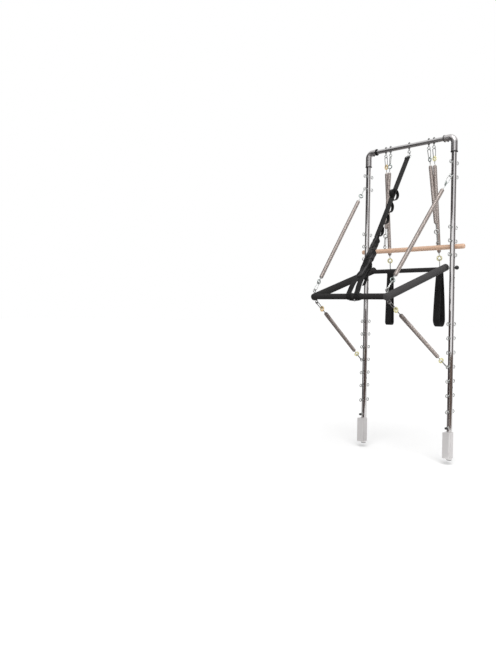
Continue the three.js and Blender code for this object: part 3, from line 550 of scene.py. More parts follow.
def dressed(name, mesh, look, body=TOWER, replaces=(), slot=None, sharp=40.0, bevel=0.0):
    """Makes a mesh a piece that rides on a CAD body. Without a body it is left free."""
    righted(mesh, WELD)
    mesh.polygons.foreach_set("use_smooth", [True] * len(mesh.polygons))
    mesh.set_sharp_from_angle(angle=math.radians(sharp))
    mesh.materials.clear()
    mesh.materials.append(finish(look))
    made = placed(name, mesh)
    if bevel:
        edge = made.modifiers.new("Edges", "BEVEL")
        edge.width = bevel
        edge.segments = 3
        edge.limit_method = "ANGLE"
        edge.harden_normals = True
    if body:
        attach(made, body)
    if replaces:
        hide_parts(*replaces)
    return made


def piece(name, form, look, *others, **named):
    """Makes a form a piece, with what else the function above takes."""
    mesh = meshed(name, form.points, form.faces)
    layer = mesh.uv_layers.new(name="UVMap")
    layer.data.foreach_set("uv", [value for face in form.uvs for corner in face for value in corner])
    # The painted highlights and painted shade go on the mesh as a point attribute
    if form.relief:
        mesh.attributes.new("relief", "FLOAT", "POINT").data.foreach_set("value", form.relief)
    return dressed(name, mesh, look, *others, **named)


# Node groups

SOCKET_KINDS = {
    "Geometry": "Geometry",
    "Copied": "Object",
    "Finish": "Material",
    "Steps": "Int",
    "Vector": "Vector",
    "Stretch": "Vector",
}


class Graph:
    """Adds nodes to a tree. An input takes a value or another node's output."""

    def __init__(self, tree):
        self.tree = tree

    def add(self, kind, inputs=(), **settings):
        node = self.tree.nodes.new(kind)
        for name, value in settings.items():
            setattr(node, name, value)
        for name, value in dict(inputs).items():
            if isinstance(value, bpy.types.NodeSocket):
                self.tree.links.new(value, node.inputs[name])
            else:
                node.inputs[name].default_value = value
        return node.outputs

    def math(self, operation, first, second=0.0):
        return self.add("ShaderNodeMath", {0: first, 1: second}, operation=operation)[0]

    def times(self, first, second):
        return self.math("MULTIPLY", first, second)

    def plus(self, first, second):
        return self.math("ADD", first, second)

    def ranged(self, value, low, high, start=0.0, end=1.0, **settings):
        """A value from low to high brought to the range from start to end."""
        inputs = {"Value": value, "From Min": low, "From Max": high, "To Min": start, "To Max": end}
        return self.add("ShaderNodeMapRange", inputs, **settings)[0]

    def mixed(self, share, first, second):
        """A colour between two, by a share from 0 to 1."""
        return self.add("ShaderNodeMix", {0: share, 6: first, 7: second}, data_type="RGBA")[2]

    def noise(self, vector, scale, detail, roughness=0.5):
        inputs = {"Vector": vector, "Scale": scale, "Detail": detail, "Roughness": roughness}
        return self.add("ShaderNodeTexNoise", inputs)

    def wave(self, vector, scale, distortion, direction, detail=2.0):
        inputs = {"Vector": vector, "Scale": scale, "Distortion": distortion, "Detail": detail}
        return self.add("ShaderNodeTexWave", inputs, bands_direction=direction)[1]

    def stretched(self, vector, stretch):
        return self.add("ShaderNodeVectorMath", {0: vector, 1: stretch}, operation="MULTIPLY")[0]

    def effect(self, tree, vector, **inputs):
        return self.add("ShaderNodeGroup", {"Vector": vector, **inputs}, node_tree=tree)


def node_group(name, kind, inputs, outputs, build):
    """A node group with named sockets, built the first time that it is asked for."""
    known = bpy.data.node_groups.get(name)
    if known:
        return known
    tree = bpy.data.node_groups.new(name, kind)
    for way, sockets in (("INPUT", inputs), ("OUTPUT", dict.fromkeys(outputs))):
        for socket, value in sockets.items():
            kind = "NodeSocket" + SOCKET_KINDS.get(socket, "Float")
            made = tree.interface.new_socket(socket, in_out=way, socket_type=kind)
            if value is not None:
                made.default_value = value
    graph = Graph(tree)
    graph.add("NodeGroupOutput", build(graph, graph.add("NodeGroupInput")))
    return tree


def shape_group(name, inputs, build):
    """A group of geometry nodes, whose build gives what its finish is put on."""

    def finished(graph, given):
        plain = graph.add("GeometryNodeRealizeInstances", {0: build(graph, given)[0]})
        finish_on = {"Geometry": plain[0], "Material": given["Finish"]}
        return {0: graph.add("GeometryNodeSetMaterial", finish_on)[0]}

    return node_group(name, "GeometryNodeTree", {**inputs, "Finish": None}, ["Geometry"], finished)


def shader_group(name, inputs, outputs, build):
    return node_group(name, "ShaderNodeTree", {"Vector": None, **inputs}, outputs, build)


def grown(tree, values, points=(), edges=()):
    """The mesh that a group of geometry nodes makes from points and edges with these inputs."""
    seed = placed("seed", meshed("seed", points, edges=edges))
    modifier = seed.modifiers.new("Grown", "NODES")
    modifier.node_group = tree
    for item in tree.interface.items_tree:
        if item.in_out == "INPUT" and item.name in values:
            modifier[item.identifier] = values[item.name]
    return baked(seed)


def spring_group():
    """A coil of wire up the Z axis, drawn in at both ends."""

    def build(graph, given):
        radius = given["Coil Radius"]
        size = {"Start Radius": radius, "End Radius": radius, "Height": given["Length"]}
        steps = {"Resolution": given["Steps"], "Rotations": given["Turns"]}
        wound = graph.add("GeometryNodeCurveSpiral", {**steps, **size})
        parts = graph.add("ShaderNodeSeparateXYZ", {0: graph.add("GeometryNodeInputPosition")[0]})
        from_top = graph.math("SUBTRACT", given["Length"], parts["Z"])
        nearest = graph.math("MINIMUM", parts["Z"], from_top)
        end_share = given["End Share"]
        share = graph.ranged(nearest, 0.0, given["End Length"], end_share, interpolation_type="SMOOTHSTEP")
        x, y = (graph.times(parts[axis], share) for axis in "XY")
        drawn = graph.add("ShaderNodeCombineXYZ", {"X": x, "Y": y, "Z": parts["Z"]})
        shaped = graph.add("GeometryNodeSetPosition", {"Geometry": wound[0], "Position": drawn[0]})
        section = {"Resolution": 6, "Radius": given["Wire Radius"]}
        profile = graph.add("GeometryNodeCurvePrimitiveCircle", section)[0]
        wire = {"Curve": shaped[0], "Profile Curve": profile, "Fill Caps": True}
        return graph.add("GeometryNodeCurveToMesh", wire)

    sizes = {"Length": 0.5, "Coil Radius": SPRING_RADIUS, "Wire Radius": 0.0012, "End Length": 0.01}
    return shape_group("Spring Coil", {**sizes, "Turns": 100.0, "Steps": 16, "End Share": 0.4}, build)


def copies_group():
    """A copy of one object at every point of the seed mesh."""

    def build(graph, given):
        copied = graph.add("GeometryNodeObjectInfo", {"Object": given["Copied"]})["Geometry"]
        return graph.add("GeometryNodeInstanceOnPoints", {"Points": given["Geometry"], "Instance": copied})

    return shape_group("Copies At Points", {"Geometry": None, "Copied": None}, build)


def stitch_group():
    """A row of sewn stitches along the edges of the seed mesh."""

    def build(graph, given):
        path = graph.add("GeometryNodeMeshToCurve", {"Mesh": given["Geometry"]})[0]
        spacing = {"Curve": path, "Length": given["Pitch"]}
        evenly = graph.add("GeometryNodeResampleCurve", spacing, mode="LENGTH")
        bead = graph.add("GeometryNodeMeshIcoSphere", {"Radius": 1.0, "Subdivisions": 2})
        half = graph.math("DIVIDE", given["Stitch Length"], 2.0)
        thread = given["Thread Radius"]
        size = graph.add("ShaderNodeCombineXYZ", {"X": half, "Y": thread, "Z": thread})
        tangent = graph.add("GeometryNodeInputTangent")
        turn = graph.add("FunctionNodeAlignRotationToVector", {"Vector": tangent[0]}, axis="X")
        spread = {"Points": evenly[0], "Instance": bead[0], "Rotation": turn[0], "Scale": size[0]}
        return graph.add("GeometryNodeInstanceOnPoints", spread)

    inputs = {"Geometry": None, "Pitch": 0.0045, "Stitch Length": 0.0034, "Thread Radius": 0.0005}
    return shape_group("Stitches Along Path", inputs, build)


def copies(form, places, look):
    """A mesh with a form repeated at each place."""
    copied = placed("copied", meshed("copied", form.points, form.faces))
    mesh = grown(copies_group(), {"Copied": copied, "Finish": finish(look)}, places)
    bpy.data.objects.remove(copied)
    return mesh


def stitches(name, rows, body):
    """Stitches along rows of points, as one piece."""
    points, edges = [], []
    for row in rows:
        points.extend(tuple(point) for point in row)
        edges.extend((i, i + 1) for i in range(len(points) - len(row), len(points) - 1))
    mesh = grown(stitch_group(), {"Finish": finish("thread")}, points, edges)
    return dressed(name, mesh, "thread", body, sharp=180.0)


# Finishes


def marks_effect():
    """Smears and fine scuffs left by hands, as a mask."""

    def build(graph, given):
        smears = graph.noise(given["Vector"], given["Scale"], 3.0, 0.6)[0]
        scuffs = graph.noise(given["Vector"], graph.times(given["Scale"], 9.0), 2.0)[0]
        both = graph.plus(graph.times(smears, 0.75), graph.times(scuffs, 0.25))
        return {"Mask": graph.ranged(both, 0.38, 0.66)}

    return shader_group("Handling Marks", {"Scale": 12.0}, ["Mask"], build)


def cells_effect():
    """The closed cells of a foam skin or a moulded grain, as a height and a shade."""

    def build(graph, given):
        vector, scale = given["Vector"], given["Scale"]
        cells = graph.add("ShaderNodeTexVoronoi", {"Vector": vector, "Scale": scale})["Distance"]
        dust = graph.noise(vector, scale, 4.0)[0]
        return {"Height": graph.times(cells, dust), "Shade": graph.ranged(dust, 0.3, 0.7)}

    return shader_group("Closed Cells", {"Scale": 900.0}, ["Height", "Shade"], build)


def lines_effect():
    """Fine lines left by drawing or extruding along an axis, as a mask. Stretch is small along that axis."""

    def build(graph, given):
        lines = graph.noise(graph.stretched(given["Vector"], given["Stretch"]), 1.0, 3.0)[0]
        return {"Mask": graph.ranged(lines, 0.35, 0.65)}

    return shader_group("Drawn Lines", {"Stretch": (900.0, 900.0, 4.0)}, ["Mask"], build)


def weave_effect():
    """Heavy webbing: ribs along its length, crossed by picks, as a height and a shade."""

    def build(graph, given):
        along = graph.wave(given["Vector"], given["Ribs"], 0.4, "X")
        over = graph.wave(given["Vector"], given["Picks"], 0.6, "DIAGONAL")
        fuzz = graph.noise(given["Vector"], 600.0, 4.0)[0]
        ribbed = graph.plus(graph.times(along, 0.55), graph.times(over, 0.45))
        height = graph.plus(ribbed, graph.times(fuzz, 0.3))
        return {"Height": height, "Shade": graph.ranged(height, 0.2, 1.1)}

    return shader_group("Webbing Weave", {"Ribs": 110.0, "Picks": 140.0}, ["Height", "Shade"], build)


def grain_effect():
    """Straight wood grain along X, as growth bands and pores."""

    def build(graph, given):
        bent = {0: graph.noise(given["Vector"], 3.0, 2.0)["Color"], 1: (0.0, 0.35, 0.35), 2: given["Vector"]}
        shifted = graph.add("ShaderNodeVectorMath", bent, operation="MULTIPLY_ADD")[0]
        bands = graph.wave(shifted, given["Bands"], 1.6, "Z")
        pores = graph.noise(graph.stretched(given["Vector"], (2.5, 60.0, 60.0)), 1.0, 3.0)[0]
        return {"Bands": bands, "Pores": graph.ranged(pores, 0.58, 0.72)}

    return shader_group("Wood Grain", {"Bands": 2.0}, ["Bands", "Pores"], build)


def rgba(colour, shade=1.0):
    return (*(channel * shade for channel in colour), 1.0)


def new_material(name):
    """An empty material and its graph."""
    material = bpy.data.materials.new(name)
    material.use_nodes = True
    material.node_tree.nodes.clear()
    return material, Graph(material.node_tree)


def new_finish(name, build):
    """A material whose build gives the shader's inputs, a height and how deep it is in metres."""
    material, graph = new_material(name)
    inputs, height, depth = build(graph, graph.add("ShaderNodeTexCoord"))
    inputs["Normal"] = graph.add("ShaderNodeBump", {"Height": height, "Distance": depth})[0]
    shader = graph.add("ShaderNodeBsdfPrincipled", inputs)
    graph.add("ShaderNodeOutputMaterial", {"Surface": shader[0]})
    return material


def metal(colour, smooth, worn, stretch=None, scale=12.0, dark=0.86, depth=0.00002, metallic=1.0):
    """Bare or plated metal: handling marks in its gloss, and drawn lines where it has them."""

    def build(graph, coords):
        marks = graph.effect(marks_effect(), coords["Object"], Scale=scale)["Mask"]
        height = marks
        if stretch:
            height = graph.effect(lines_effect(), coords["Object"], Stretch=stretch)["Mask"]
            marks = graph.times(graph.plus(marks, height), 0.5)
        inputs = {
            "Base Color": graph.mixed(marks, rgba(colour), rgba(colour, dark)),
            "Roughness": graph.ranged(marks, 0.0, 1.0, smooth, worn),
            "Metallic": metallic,
        }
        return inputs, height, depth

    return build


def moulded(colour, low, high, scale, depth, **fixed):
    """Moulded plastic or foam with a cell grain. Fixed inputs are named with underscores for spaces."""

    def build(graph, coords):
        cells = graph.effect(cells_effect(), coords["Object"], Scale=scale)
        marks = graph.effect(marks_effect(), coords["Object"], Scale=9.0)["Mask"]
        shade = graph.times(graph.plus(cells["Shade"], marks), 0.5)
        inputs = {
            "Base Color": graph.mixed(shade, rgba(colour, 0.82), rgba(colour, 1.18)),
            "Roughness": graph.ranged(shade, 0.0, 1.0, low, high),
        }
        inputs.update({name.replace("_", " "): value for name, value in fixed.items()})
        return inputs, cells["Height"], depth

    return build


def woven(colour):
    """Black webbing, from the piece's own UV map in metres, with painted highlights and painted shade where a
    piece carries them.
    """

    def build(graph, coords):
        weave = graph.effect(weave_effect(), coords["UV"])
        dust = graph.effect(marks_effect(), coords["Object"], Scale=14.0)["Mask"]
        yarn = graph.mixed(weave["Shade"], rgba(colour, 0.55), rgba(colour, 1.35))
        # Painted light: colour made lighter on the packs' raised folds and painted shine, and darker in their
        # creases as painted shade
        relief = graph.add("ShaderNodeAttribute", attribute_name="relief")["Fac"]
        for far, shade in ((1.0, 6.0), (-0.7, 0.1)):
            yarn = graph.mixed(graph.ranged(relief, 0.0, far), yarn, rgba(colour, shade))
        inputs = {
            "Base Color": graph.mixed(graph.times(dust, 0.35), yarn, rgba(colour, 2.2)),
            "Roughness": graph.ranged(weave["Shade"], 0.0, 1.0, 0.42, 0.66),
            "Specular IOR Level": 0.2,
            "Sheen Weight": 0.03,
            "Sheen Roughness": 0.5,
        }
        return inputs, weave["Height"], 0.0004

    return build


def beech(light, dark):
    """Lacquered beech with its grain along X."""

    def build(graph, coords):
        offset = tuple(-ROLL_BAR * GRAIN_SCALE)
        centred = {"Vector": coords["Object"], "Location": offset, "Scale": GRAIN_SCALE}
        grain = graph.effect(grain_effect(), graph.add("ShaderNodeMapping", centred)[0])
        bands = graph.mixed(grain["Bands"], rgba(light), rgba(dark))
        inputs = {
            "Base Color": graph.mixed(graph.times(grain["Pores"], 0.5), bands, rgba(dark, 0.62)),
            "Roughness": graph.ranged(grain["Bands"], 0.0, 1.0, 0.34, 0.5),
            "Coat Weight": 0.25,
            "Coat Roughness": 0.3,
        }
        return inputs, grain["Pores"], -0.00006

    return build


def foam(colour, specular=0.5):
    return moulded(colour, 0.86, 0.98, 1100.0, 0.0003, Specular_IOR_Level=specular)


def soft_ring(colour, clear):
    return moulded(colour, 0.3, 0.45, 700.0, 0.00003, Transmission_Weight=clear)


def drawn_chrome(colour, gloss, spread, stretch):
    return metal(colour, gloss, gloss + spread, stretch=stretch, depth=0.000001)


def finish(name):
    """A finish by name, built the first time that a piece asks for it."""
    known = bpy.data.materials.get(name)
    if known:
        return known
    scene = bpy.context.scene
    tubes, springs, soft, wood = scene.tower_tubes, scene.tower_springs, scene.tower_soft, scene.tower_wood
    across, along, extruded = (3.0, 160.0, 160.0), (160.0, 160.0, 3.0), (900.0, 900.0, 5.0)
    builds = {
        "chrome tube": drawn_chrome(tubes.chrome, tubes.gloss, 0.06, along),
        # The crossbar's chrome is the tubes' plating made darker, as painted shade that dims its highlight
        "chrome crossbar": drawn_chrome(tubes.crossbar, tubes.gloss + 0.1, 0.08, across),
        "cast chrome": metal(tubes.casting, 0.26, 0.38, scale=30.0, dark=0.8, depth=0.00003),
        "plated steel": metal(tubes.fittings, 0.2, 0.38, scale=60.0, dark=0.8),
        "spring wire": metal(springs.wire, 0.34, 0.44, scale=25.0, dark=0.9, metallic=0.7),
        "extruded aluminium": metal(tubes.aluminium, 0.4, 0.55, extruded, depth=0.00003, metallic=0.3),
        "yellow ring": soft_ring(springs.yellow, 0.45),
        "amber ring": soft_ring(springs.amber, 0.3),
        "green grey ring": metal(springs.ring, 0.25, 0.42, scale=60.0, dark=0.75),
        "black plastic": moulded(tubes.plastic, 0.35, 0.5, 1400.0, 0.00006),
        "dark gasket": moulded(tubes.gasket, 0.6, 0.75, 1400.0, 0.00004),
        "arm foam": foam(soft.arm_foam),
        # A darker copy of the arm foam for the left arm, as painted shade
        "left arm foam": foam(soft.left_foam, 0.3),
        "bar foam": foam(soft.bar_foam, 0.4),
        "black webbing": woven(soft.webbing),
        "thread": moulded(soft.thread, 0.5, 0.7, 2500.0, 0.0001, Sheen_Weight=0.3),
        "lacquered beech": beech(wood.light, wood.dark),
    }
    return new_finish(name, builds[name])


# Settings


def setting(kind, **fixed):
    """A maker of properties of one kind."""

    def make(name, description, default):
        return kind(name=name, description=description, default=default, **fixed)

    return make


colour_setting = setting(FloatVectorProperty, subtype="COLOR", size=3, min=0, max=1)
length_setting = setting(FloatProperty, subtype="DISTANCE", unit="LENGTH", min=0)
share_setting = setting(FloatProperty, subtype="FACTOR", min=0, max=1)
strength_setting = setting(FloatProperty, min=0)


class TowerTubeSettings(bpy.types.PropertyGroup):
    """Finishes of the tubes and metal fittings."""

    chrome: colour_setting("Chrome", "Plating of the tubes", (0.82, 0.8, 0.8))
    casting: colour_setting("Casting", "Plating of the elbows", (0.6, 0.58, 0.58))
    fittings: colour_setting("Fittings", "Plating of eyes, nuts and hooks", (0.55, 0.56, 0.55))
    # The tubes' plating made darker for the crossbar, as painted shade
    crossbar: colour_setting("Crossbar chrome", "Plating of the crossbar", (0.58, 0.567, 0.57))
    aluminium: colour_setting("Aluminium", "Extruded brackets", (0.78, 0.76, 0.755))
    plastic: colour_setting("Plastic", "Knobs and plugs", (0.012, 0.012, 0.013))
    gasket: colour_setting("Gasket", "Collars of the elbows and bushes", (0.011, 0.0095, 0.009))
    gloss: share_setting("Gloss", "Roughness of clean chrome", 0.08)


class TowerSpringSettings(bpy.types.PropertyGroup):
    """The springs, and the rings at their ends."""

    wire: colour_setting("Wire", "Spring steel", (0.54, 0.478, 0.447))
    yellow: colour_setting("Yellow rings", "Rings of the lighter springs", (0.93, 0.89, 0.56))
    amber: colour_setting("Amber ring", "The deeper one of the yellow rings", (0.95, 0.74, 0.4))
    ring: colour_setting("Plain rings", "Rings of the stronger springs", (0.36, 0.42, 0.4))
    wire_diameter: length_setting("Wire diameter", "Thickness of the spring wire", 0.0024)
    pitch: length_setting("Pitch", "From one turn to the next", 0.00244)


class TowerSoftSettings(bpy.types.PropertyGroup):
    """Foam and webbing."""

    arm_foam: colour_setting("Arm foam", "Foam over the right arm", (0.055, 0.053, 0.054))
    # The same foam as the right arm, darkened as painted shade
    left_foam: colour_setting("Left arm foam", "Foam over the left arm", (0.022, 0.021, 0.0205))
    bar_foam: colour_setting("Bar foam", "Foam over the cross bars", (0.02, 0.0185, 0.019))
    webbing: colour_setting("Webbing", "Strap and hand loops", (0.0095, 0.0091, 0.0093))
    thread: colour_setting("Thread", "Stitching on the webbing", (0.024, 0.023, 0.024))
    stitch_inset: length_setting("Stitch inset", "From a seam to the webbing's edge", 0.003)


class TowerWoodSettings(bpy.types.PropertyGroup):
    """The wooden bar."""

    light: colour_setting("Light wood", "Early growth", (0.795, 0.54, 0.385))
    dark: colour_setting("Dark wood", "Late growth", (0.695, 0.44, 0.3))


class TowerStageSettings(bpy.types.PropertyGroup):
    """Floor, background and light."""

    floor: colour_setting("Floor", "The floor's colour", (0.86, 0.86, 0.86))
    floor_height: length_setting("Floor drop", "From the brackets' bottom down to the floor", 0.039)
    ambient: strength_setting("Ambient", "Strength of the light from all sides", 0.52)
    key: strength_setting("Key", "Strength of the main lamp", 1.9)


# Portal frame


def tube(start, end, radius, heights=()):
    """An open tube with a wall. Rows beside the given distances keep later holes to a short stretch."""
    length = np.linalg.norm(end - start)
    margins = (height + way * PIN_HOLE_MARGIN for height in heights for way in (-1, 1))
    stations = sorted({0.0, length, *margins})
    outer = [(radius - (TUBE_EDGE if s in (0.0, length) else 0), s) for s in stations]
    outer[1:1] = [(radius, TUBE_EDGE)]
    outer[-1:-1] = [(radius, length - TUBE_EDGE)]
    inner = [(radius - TUBE_WALL, s) for s in reversed(stations)]
    return turned(outer + inner, start, unit(end - start), loop=True)


def build_tubes():
    heights = [z - FOOT_Z for z in PIN_HOLE_HEIGHTS]
    for side, sign in SIDES:
        x = sign * UPRIGHT_X
        form = tube(at(x, 0, FOOT_Z), at(x, 0, HEAD_Z), UPRIGHT_RADIUS, heights)
        ends = [(at(x - DRILL_REACH, 0, z), at(x + DRILL_REACH, 0, z)) for z in PIN_HOLE_HEIGHTS]
        ends.append((at(x, -DRILL_REACH, LOCK_KNOB_Z), at(x, 0, LOCK_KNOB_Z)))
        holes = [(start, end, PIN_HOLE_RADIUS) for start, end in ends]
        dressed("upright_tube_" + side, drilled(form, holes), "chrome tube", TOWER, ["upright_" + side])
    form = tube(at(-CROSSBAR_HALF, 0, CROSSBAR_Z), at(CROSSBAR_HALF, 0, CROSSBAR_Z), CROSSBAR_RADIUS)
    piece("crossbar_tube", form, "chrome crossbar", TOWER, ["crossbar"])


def elbow_route(sign):
    """From the mouth on the crossbar, round the bend, down to the mouth on the upright."""
    outward = at(sign, 0, 0)
    corner = at(sign * UPRIGHT_X, 0, CROSSBAR_Z)
    centre = corner - ELBOW_BEND * (outward + UP)
    bend = arc(centre, ELBOW_BEND, UP, outward, np.linspace(0, math.pi / 2, 15))
    return [corner - outward * ELBOW_REACH, *bend, corner - UP * ELBOW_DROP]


def sleeve_end(centre, axis):
    """A rounded band round the mouth of an elbow."""
    radius = ELBOW_RADIUS + COLLAR_STEP
    edge = COLLAR_WIDTH / 4
    near = [(radius - COLLAR_DEPTH, 0), (radius - edge, 0), (radius, edge)]
    return turned([*near, *((r, COLLAR_WIDTH - d) for r, d in near[::-1])], centre, axis)


def set_screw(base, axis):
    """A low boss with a hexagon socket screw in it."""
    radius, stand = SET_SCREW_RADIUS, SET_SCREW_STAND
    rim = [(radius + SET_SCREW_RIM, 0), (radius + SET_SCREW_RIM / 2, stand / 2), (radius, stand / 2)]
    shares = ((0.8, 0.5), (0.8, 0.9), (0.7, 1), (0.42, 1), (0.4, 0.6))
    head = [(radius * across, stand * along) for across, along in shares]
    return turned(rim, base, axis, WASHER_STEPS).join(turned(head, base, axis, 6))


def build_elbows():
    for side, sign in SIDES:
        route = elbow_route(sign)
        body = swept(route, circle(ELBOW_RADIUS, TUBE_STEPS), REAR)
        piece("elbow_body_" + side, body, "cast chrome", TOWER, ["elbow_" + side])
        outward = at(sign, 0, 0)
        collar = sleeve_end(route[0] + outward * COLLAR_WIDTH, -outward)
        seat = route[0] + outward * SET_SCREW_INSET - UP * (ELBOW_RADIUS - SET_SCREW_SUNK)
        collar.join(set_screw(seat, -UP))
        for name, form in (("collar_", collar), ("foot_ring_", sleeve_end(route[-1], UP))):
            piece("elbow_" + name + side, form, "dark gasket", bevel=FINE_BEVEL)


class TowerPortal(bpy.types.Operator):
    """Makes the two uprights, the crossbar and the elbows that join them."""

    bl_idname = "tower.portal"
    bl_label = "Portal Frame"

    def execute(self, context):
        build_tubes()
        build_elbows()
        return {"FINISHED"}


# Brackets and plugs


def bracket_outline():
    """The extruded section, square in front and round behind, in x and y about the upright's axis."""
    half = BRACKET_HALF
    groove_far = -GROOVE_PLACE - GROOVE_WIDTH
    right = [
        (half - BRACKET_LIP, -BRACKET_FRONT), (half, -BRACKET_FRONT + BRACKET_LIP),
        (half, groove_far), (half - GROOVE_DEPTH, groove_far),
        (half - GROOVE_DEPTH, -GROOVE_PLACE), (half, -GROOVE_PLACE), (half, 0),
    ]
    back = [(half * math.cos(t), half * math.sin(t)) for t in np.linspace(0, math.pi, 33)[1:-1]]
    return right + back + [(-x, y) for x, y in reversed(right)]


def build_bracket(side, x):
    form = Form().grid([[at(x + px, py, z) for px, py in bracket_outline()] for z in (0, BRACKET_HEIGHT)])
    bore = (at(x, 0, -HOLE_OVERRUN), at(x, 0, BRACKET_HEIGHT + HOLE_OVERRUN), UPRIGHT_RADIUS + GAP)
    made = dressed("bracket_body_" + side, drilled(form, [bore]), "extruded aluminium", TOWER,
                   ["bracket_" + side], sharp=30.0, bevel=BRACKET_BEVEL)
    made.modifiers["Edges"].angle_limit = math.radians(50)


def build_foot_plug(side, x):
    radius = UPRIGHT_RADIUS
    inside = radius - TUBE_WALL - GAP
    rim = [(radius - step, distance) for step, distance in FOOT_PLUG_RIM]
    plug = turned([*rim, (inside, FLANGE), (inside, PLUG_DEPTH)], at(x, 0, FOOT_Z - FLANGE - GAP), UP)
    piece("foot_plug_cap_" + side, plug, "black plastic", TOWER, ["foot_plug_" + side])


class TowerBrackets(bpy.types.Operator):
    """Makes the extruded brackets that clamp the uprights, and the plugs in the uprights' feet."""

    bl_idname = "tower.brackets"
    bl_label = "Brackets and Plugs"

    def execute(self, context):
        for side, sign in SIDES:
            build_bracket(side, sign * UPRIGHT_X)
            build_foot_plug(side, sign * UPRIGHT_X)
        return {"FINISHED"}


# Eye bolts


def nut(base, axis):
    """A hexagon nut with chamfered corners, on a washer."""
    across = NUT_ACROSS / math.sqrt(3)
    washer = turned([(WASHER_RADIUS, 0), (WASHER_RADIUS, WASHER_HEIGHT)], base, axis, WASHER_STEPS)
    shares = ((0.87, 0), (1, 1 / 6), (1, 5 / 6), (0.87, 1))
    flats = [(across * wide, WASHER_HEIGHT + NUT_HEIGHT * high) for wide, high in shares]
    return washer.join(turned(flats, base, axis, 6))


def threaded(base, axis, length, radius=SHANK_RADIUS):
    """A threaded rod, its thread as rings."""
    profile = []
    for i in range(round(length / THREAD_PITCH)):
        profile += [(radius - THREAD_DEPTH, i * THREAD_PITCH), (radius, (i + 0.5) * THREAD_PITCH)]
    return turned([*profile, (radius - 2 * THREAD_DEPTH, length)], base, axis, WIRE_STEPS)


def eye_on_shank(base, shank, normal, reach):
    """An eye whose ring stands a reach from the base along its shank."""
    neck_end = reach - EYE_RADIUS + EYE_WIRE / 4
    shares = ((1, 0), (1, 0.75), (1.25, 0.9), (0.9, 1))
    neck = turned([(SHANK_RADIUS * wide, neck_end * far) for wide, far in shares], base, shank, WIRE_STEPS)
    return ring(base + shank * reach, normal, EYE_RADIUS, EYE_WIRE).join(neck)


def through_bolt():
    """The eye bolt of an upright about its middle: an eye in front and one behind, each locked by a nut."""
    return joined(
        eye_on_shank(at(0, 0, 0), way, ACROSS, EYE_REACH).join(nut(way * (UPRIGHT_RADIUS - SUNK), way))
        for way in (-REAR, REAR)
    )


def crossbar_bolt():
    """The eye bolt of the crossbar about its middle: an eye below, a nut below and one above."""
    form = eye_on_shank(at(0, 0, 0), -UP, REAR, EYE_REACH)
    for way in (-UP, UP):
        form.join(nut(way * (CROSSBAR_RADIUS - SUNK), way))
    return form.join(threaded(UP * CROSSBAR_RADIUS, UP, CROSSBAR_THREAD))


class TowerEyeBolts(bpy.types.Operator):
    """Makes the eye bolts through the uprights and the crossbar, with their nuts and washers."""

    bl_idname = "tower.eye_bolts"
    bl_label = "Eye Bolts"

    def execute(self, context):
        for side, sign in SIDES:
            mesh = copies(through_bolt(), [(sign * UPRIGHT_X, 0, z) for z in EYE_HEIGHTS], "plated steel")
            dressed("upright_eyes_" + side, mesh, "plated steel")
        mesh = copies(crossbar_bolt(), [(x, 0, CROSSBAR_Z) for x in CROSSBAR_EYES], "plated steel")
        dressed("crossbar_eyes", mesh, "plated steel", TOWER, [f"crossbar_eye_{i}" for i in range(1, 6)])
        return {"FINISHED"}


# Pins and knobs


def build_pivot_pin(side, sign):
    out = at(sign, 0, 0)
    base = at(sign * (UPRIGHT_X + UPRIGHT_RADIUS), PIVOT[1], PIVOT[2])
    inner = at(sign * (ARM_X - PIN_INSET), 0, PIVOT[2])
    pin = rod(inner, base + out * BALL_STAND, PIN_RADIUS, (PIN_ROUND, PIN_ROUND))
    pin.join(turned(PIN_COLLAR, base, out, COLLAR_STEPS))
    body = "pivot_pin_" + side
    piece("pin_shank_" + side, pin, "plated steel", body, [body], slot="black_plastic")
    turns = np.linspace(*BALL_TURNS, 20)
    ball = [(BALL_RADIUS * math.sin(t), BALL_STAND - BALL_RADIUS * math.cos(t)) for t in turns]
    piece("pin_ball_" + side, turned(ball, base, out), "black plastic", body)


def build_lock_knob(side, sign):
    """A five-lobed knob on a threaded stud, and the boss that the stud screws through."""
    body = "lock_knob_" + side
    axis_point = at(sign * UPRIGHT_X, 0, LOCK_KNOB_Z)
    outline = circle(LOCK_KNOB_RADIUS, 90, LOCK_KNOB_RISE, LOCK_KNOB_LOBES)
    front = axis_point - REAR * LOCK_KNOB_FRONT
    rows = [
        [front + REAR * LOCK_KNOB_LENGTH * share + scale * at(x, 0, z) for x, z in outline]
        for share, scale in LOCK_KNOB_SHARES
    ]
    piece("lock_knob_grip_" + side, Form().grid(rows), "black plastic", body, [body])
    boss = turned(KNOB_BOSS, axis_point - REAR * (UPRIGHT_RADIUS + GAP), -REAR, COLLAR_STEPS)
    length = LOCK_KNOB_FRONT - LOCK_KNOB_LENGTH - UPRIGHT_RADIUS + STUD_SUNK + STUD_OVERLAP
    boss.join(threaded(axis_point - REAR * (UPRIGHT_RADIUS - STUD_SUNK), -REAR, length))
    piece("lock_knob_stud_" + side, boss, "plated steel", body)


class TowerKnobs(bpy.types.Operator):
    """Makes the pull pins with their ball knobs, and the lobed knobs that lock the uprights."""

    bl_idname = "tower.knobs"
    bl_label = "Pins and Knobs"

    def execute(self, context):
        for build in (build_pivot_pin, build_lock_knob):
            for side, sign in SIDES:
                build(side, sign)
        return {"FINISHED"}


# Push-through bar


def on_bar(x, forward, above=0.0):
    """A place on the push-through bar: across, forward of the pivot along the arms, and square to them."""
    return at(x, 0, 0) + PIVOT + ARM_FORWARD * forward + ARM_UPWARD * above


def foam_piece(name, start, end, radius, rounds, look, node):
    """A foam sleeve with rounded ends."""
    form = rod(start, end, radius, rounds, TUBE_STEPS, fineness=9, stations=40)
    piece(name, form, look, BAR, [node])


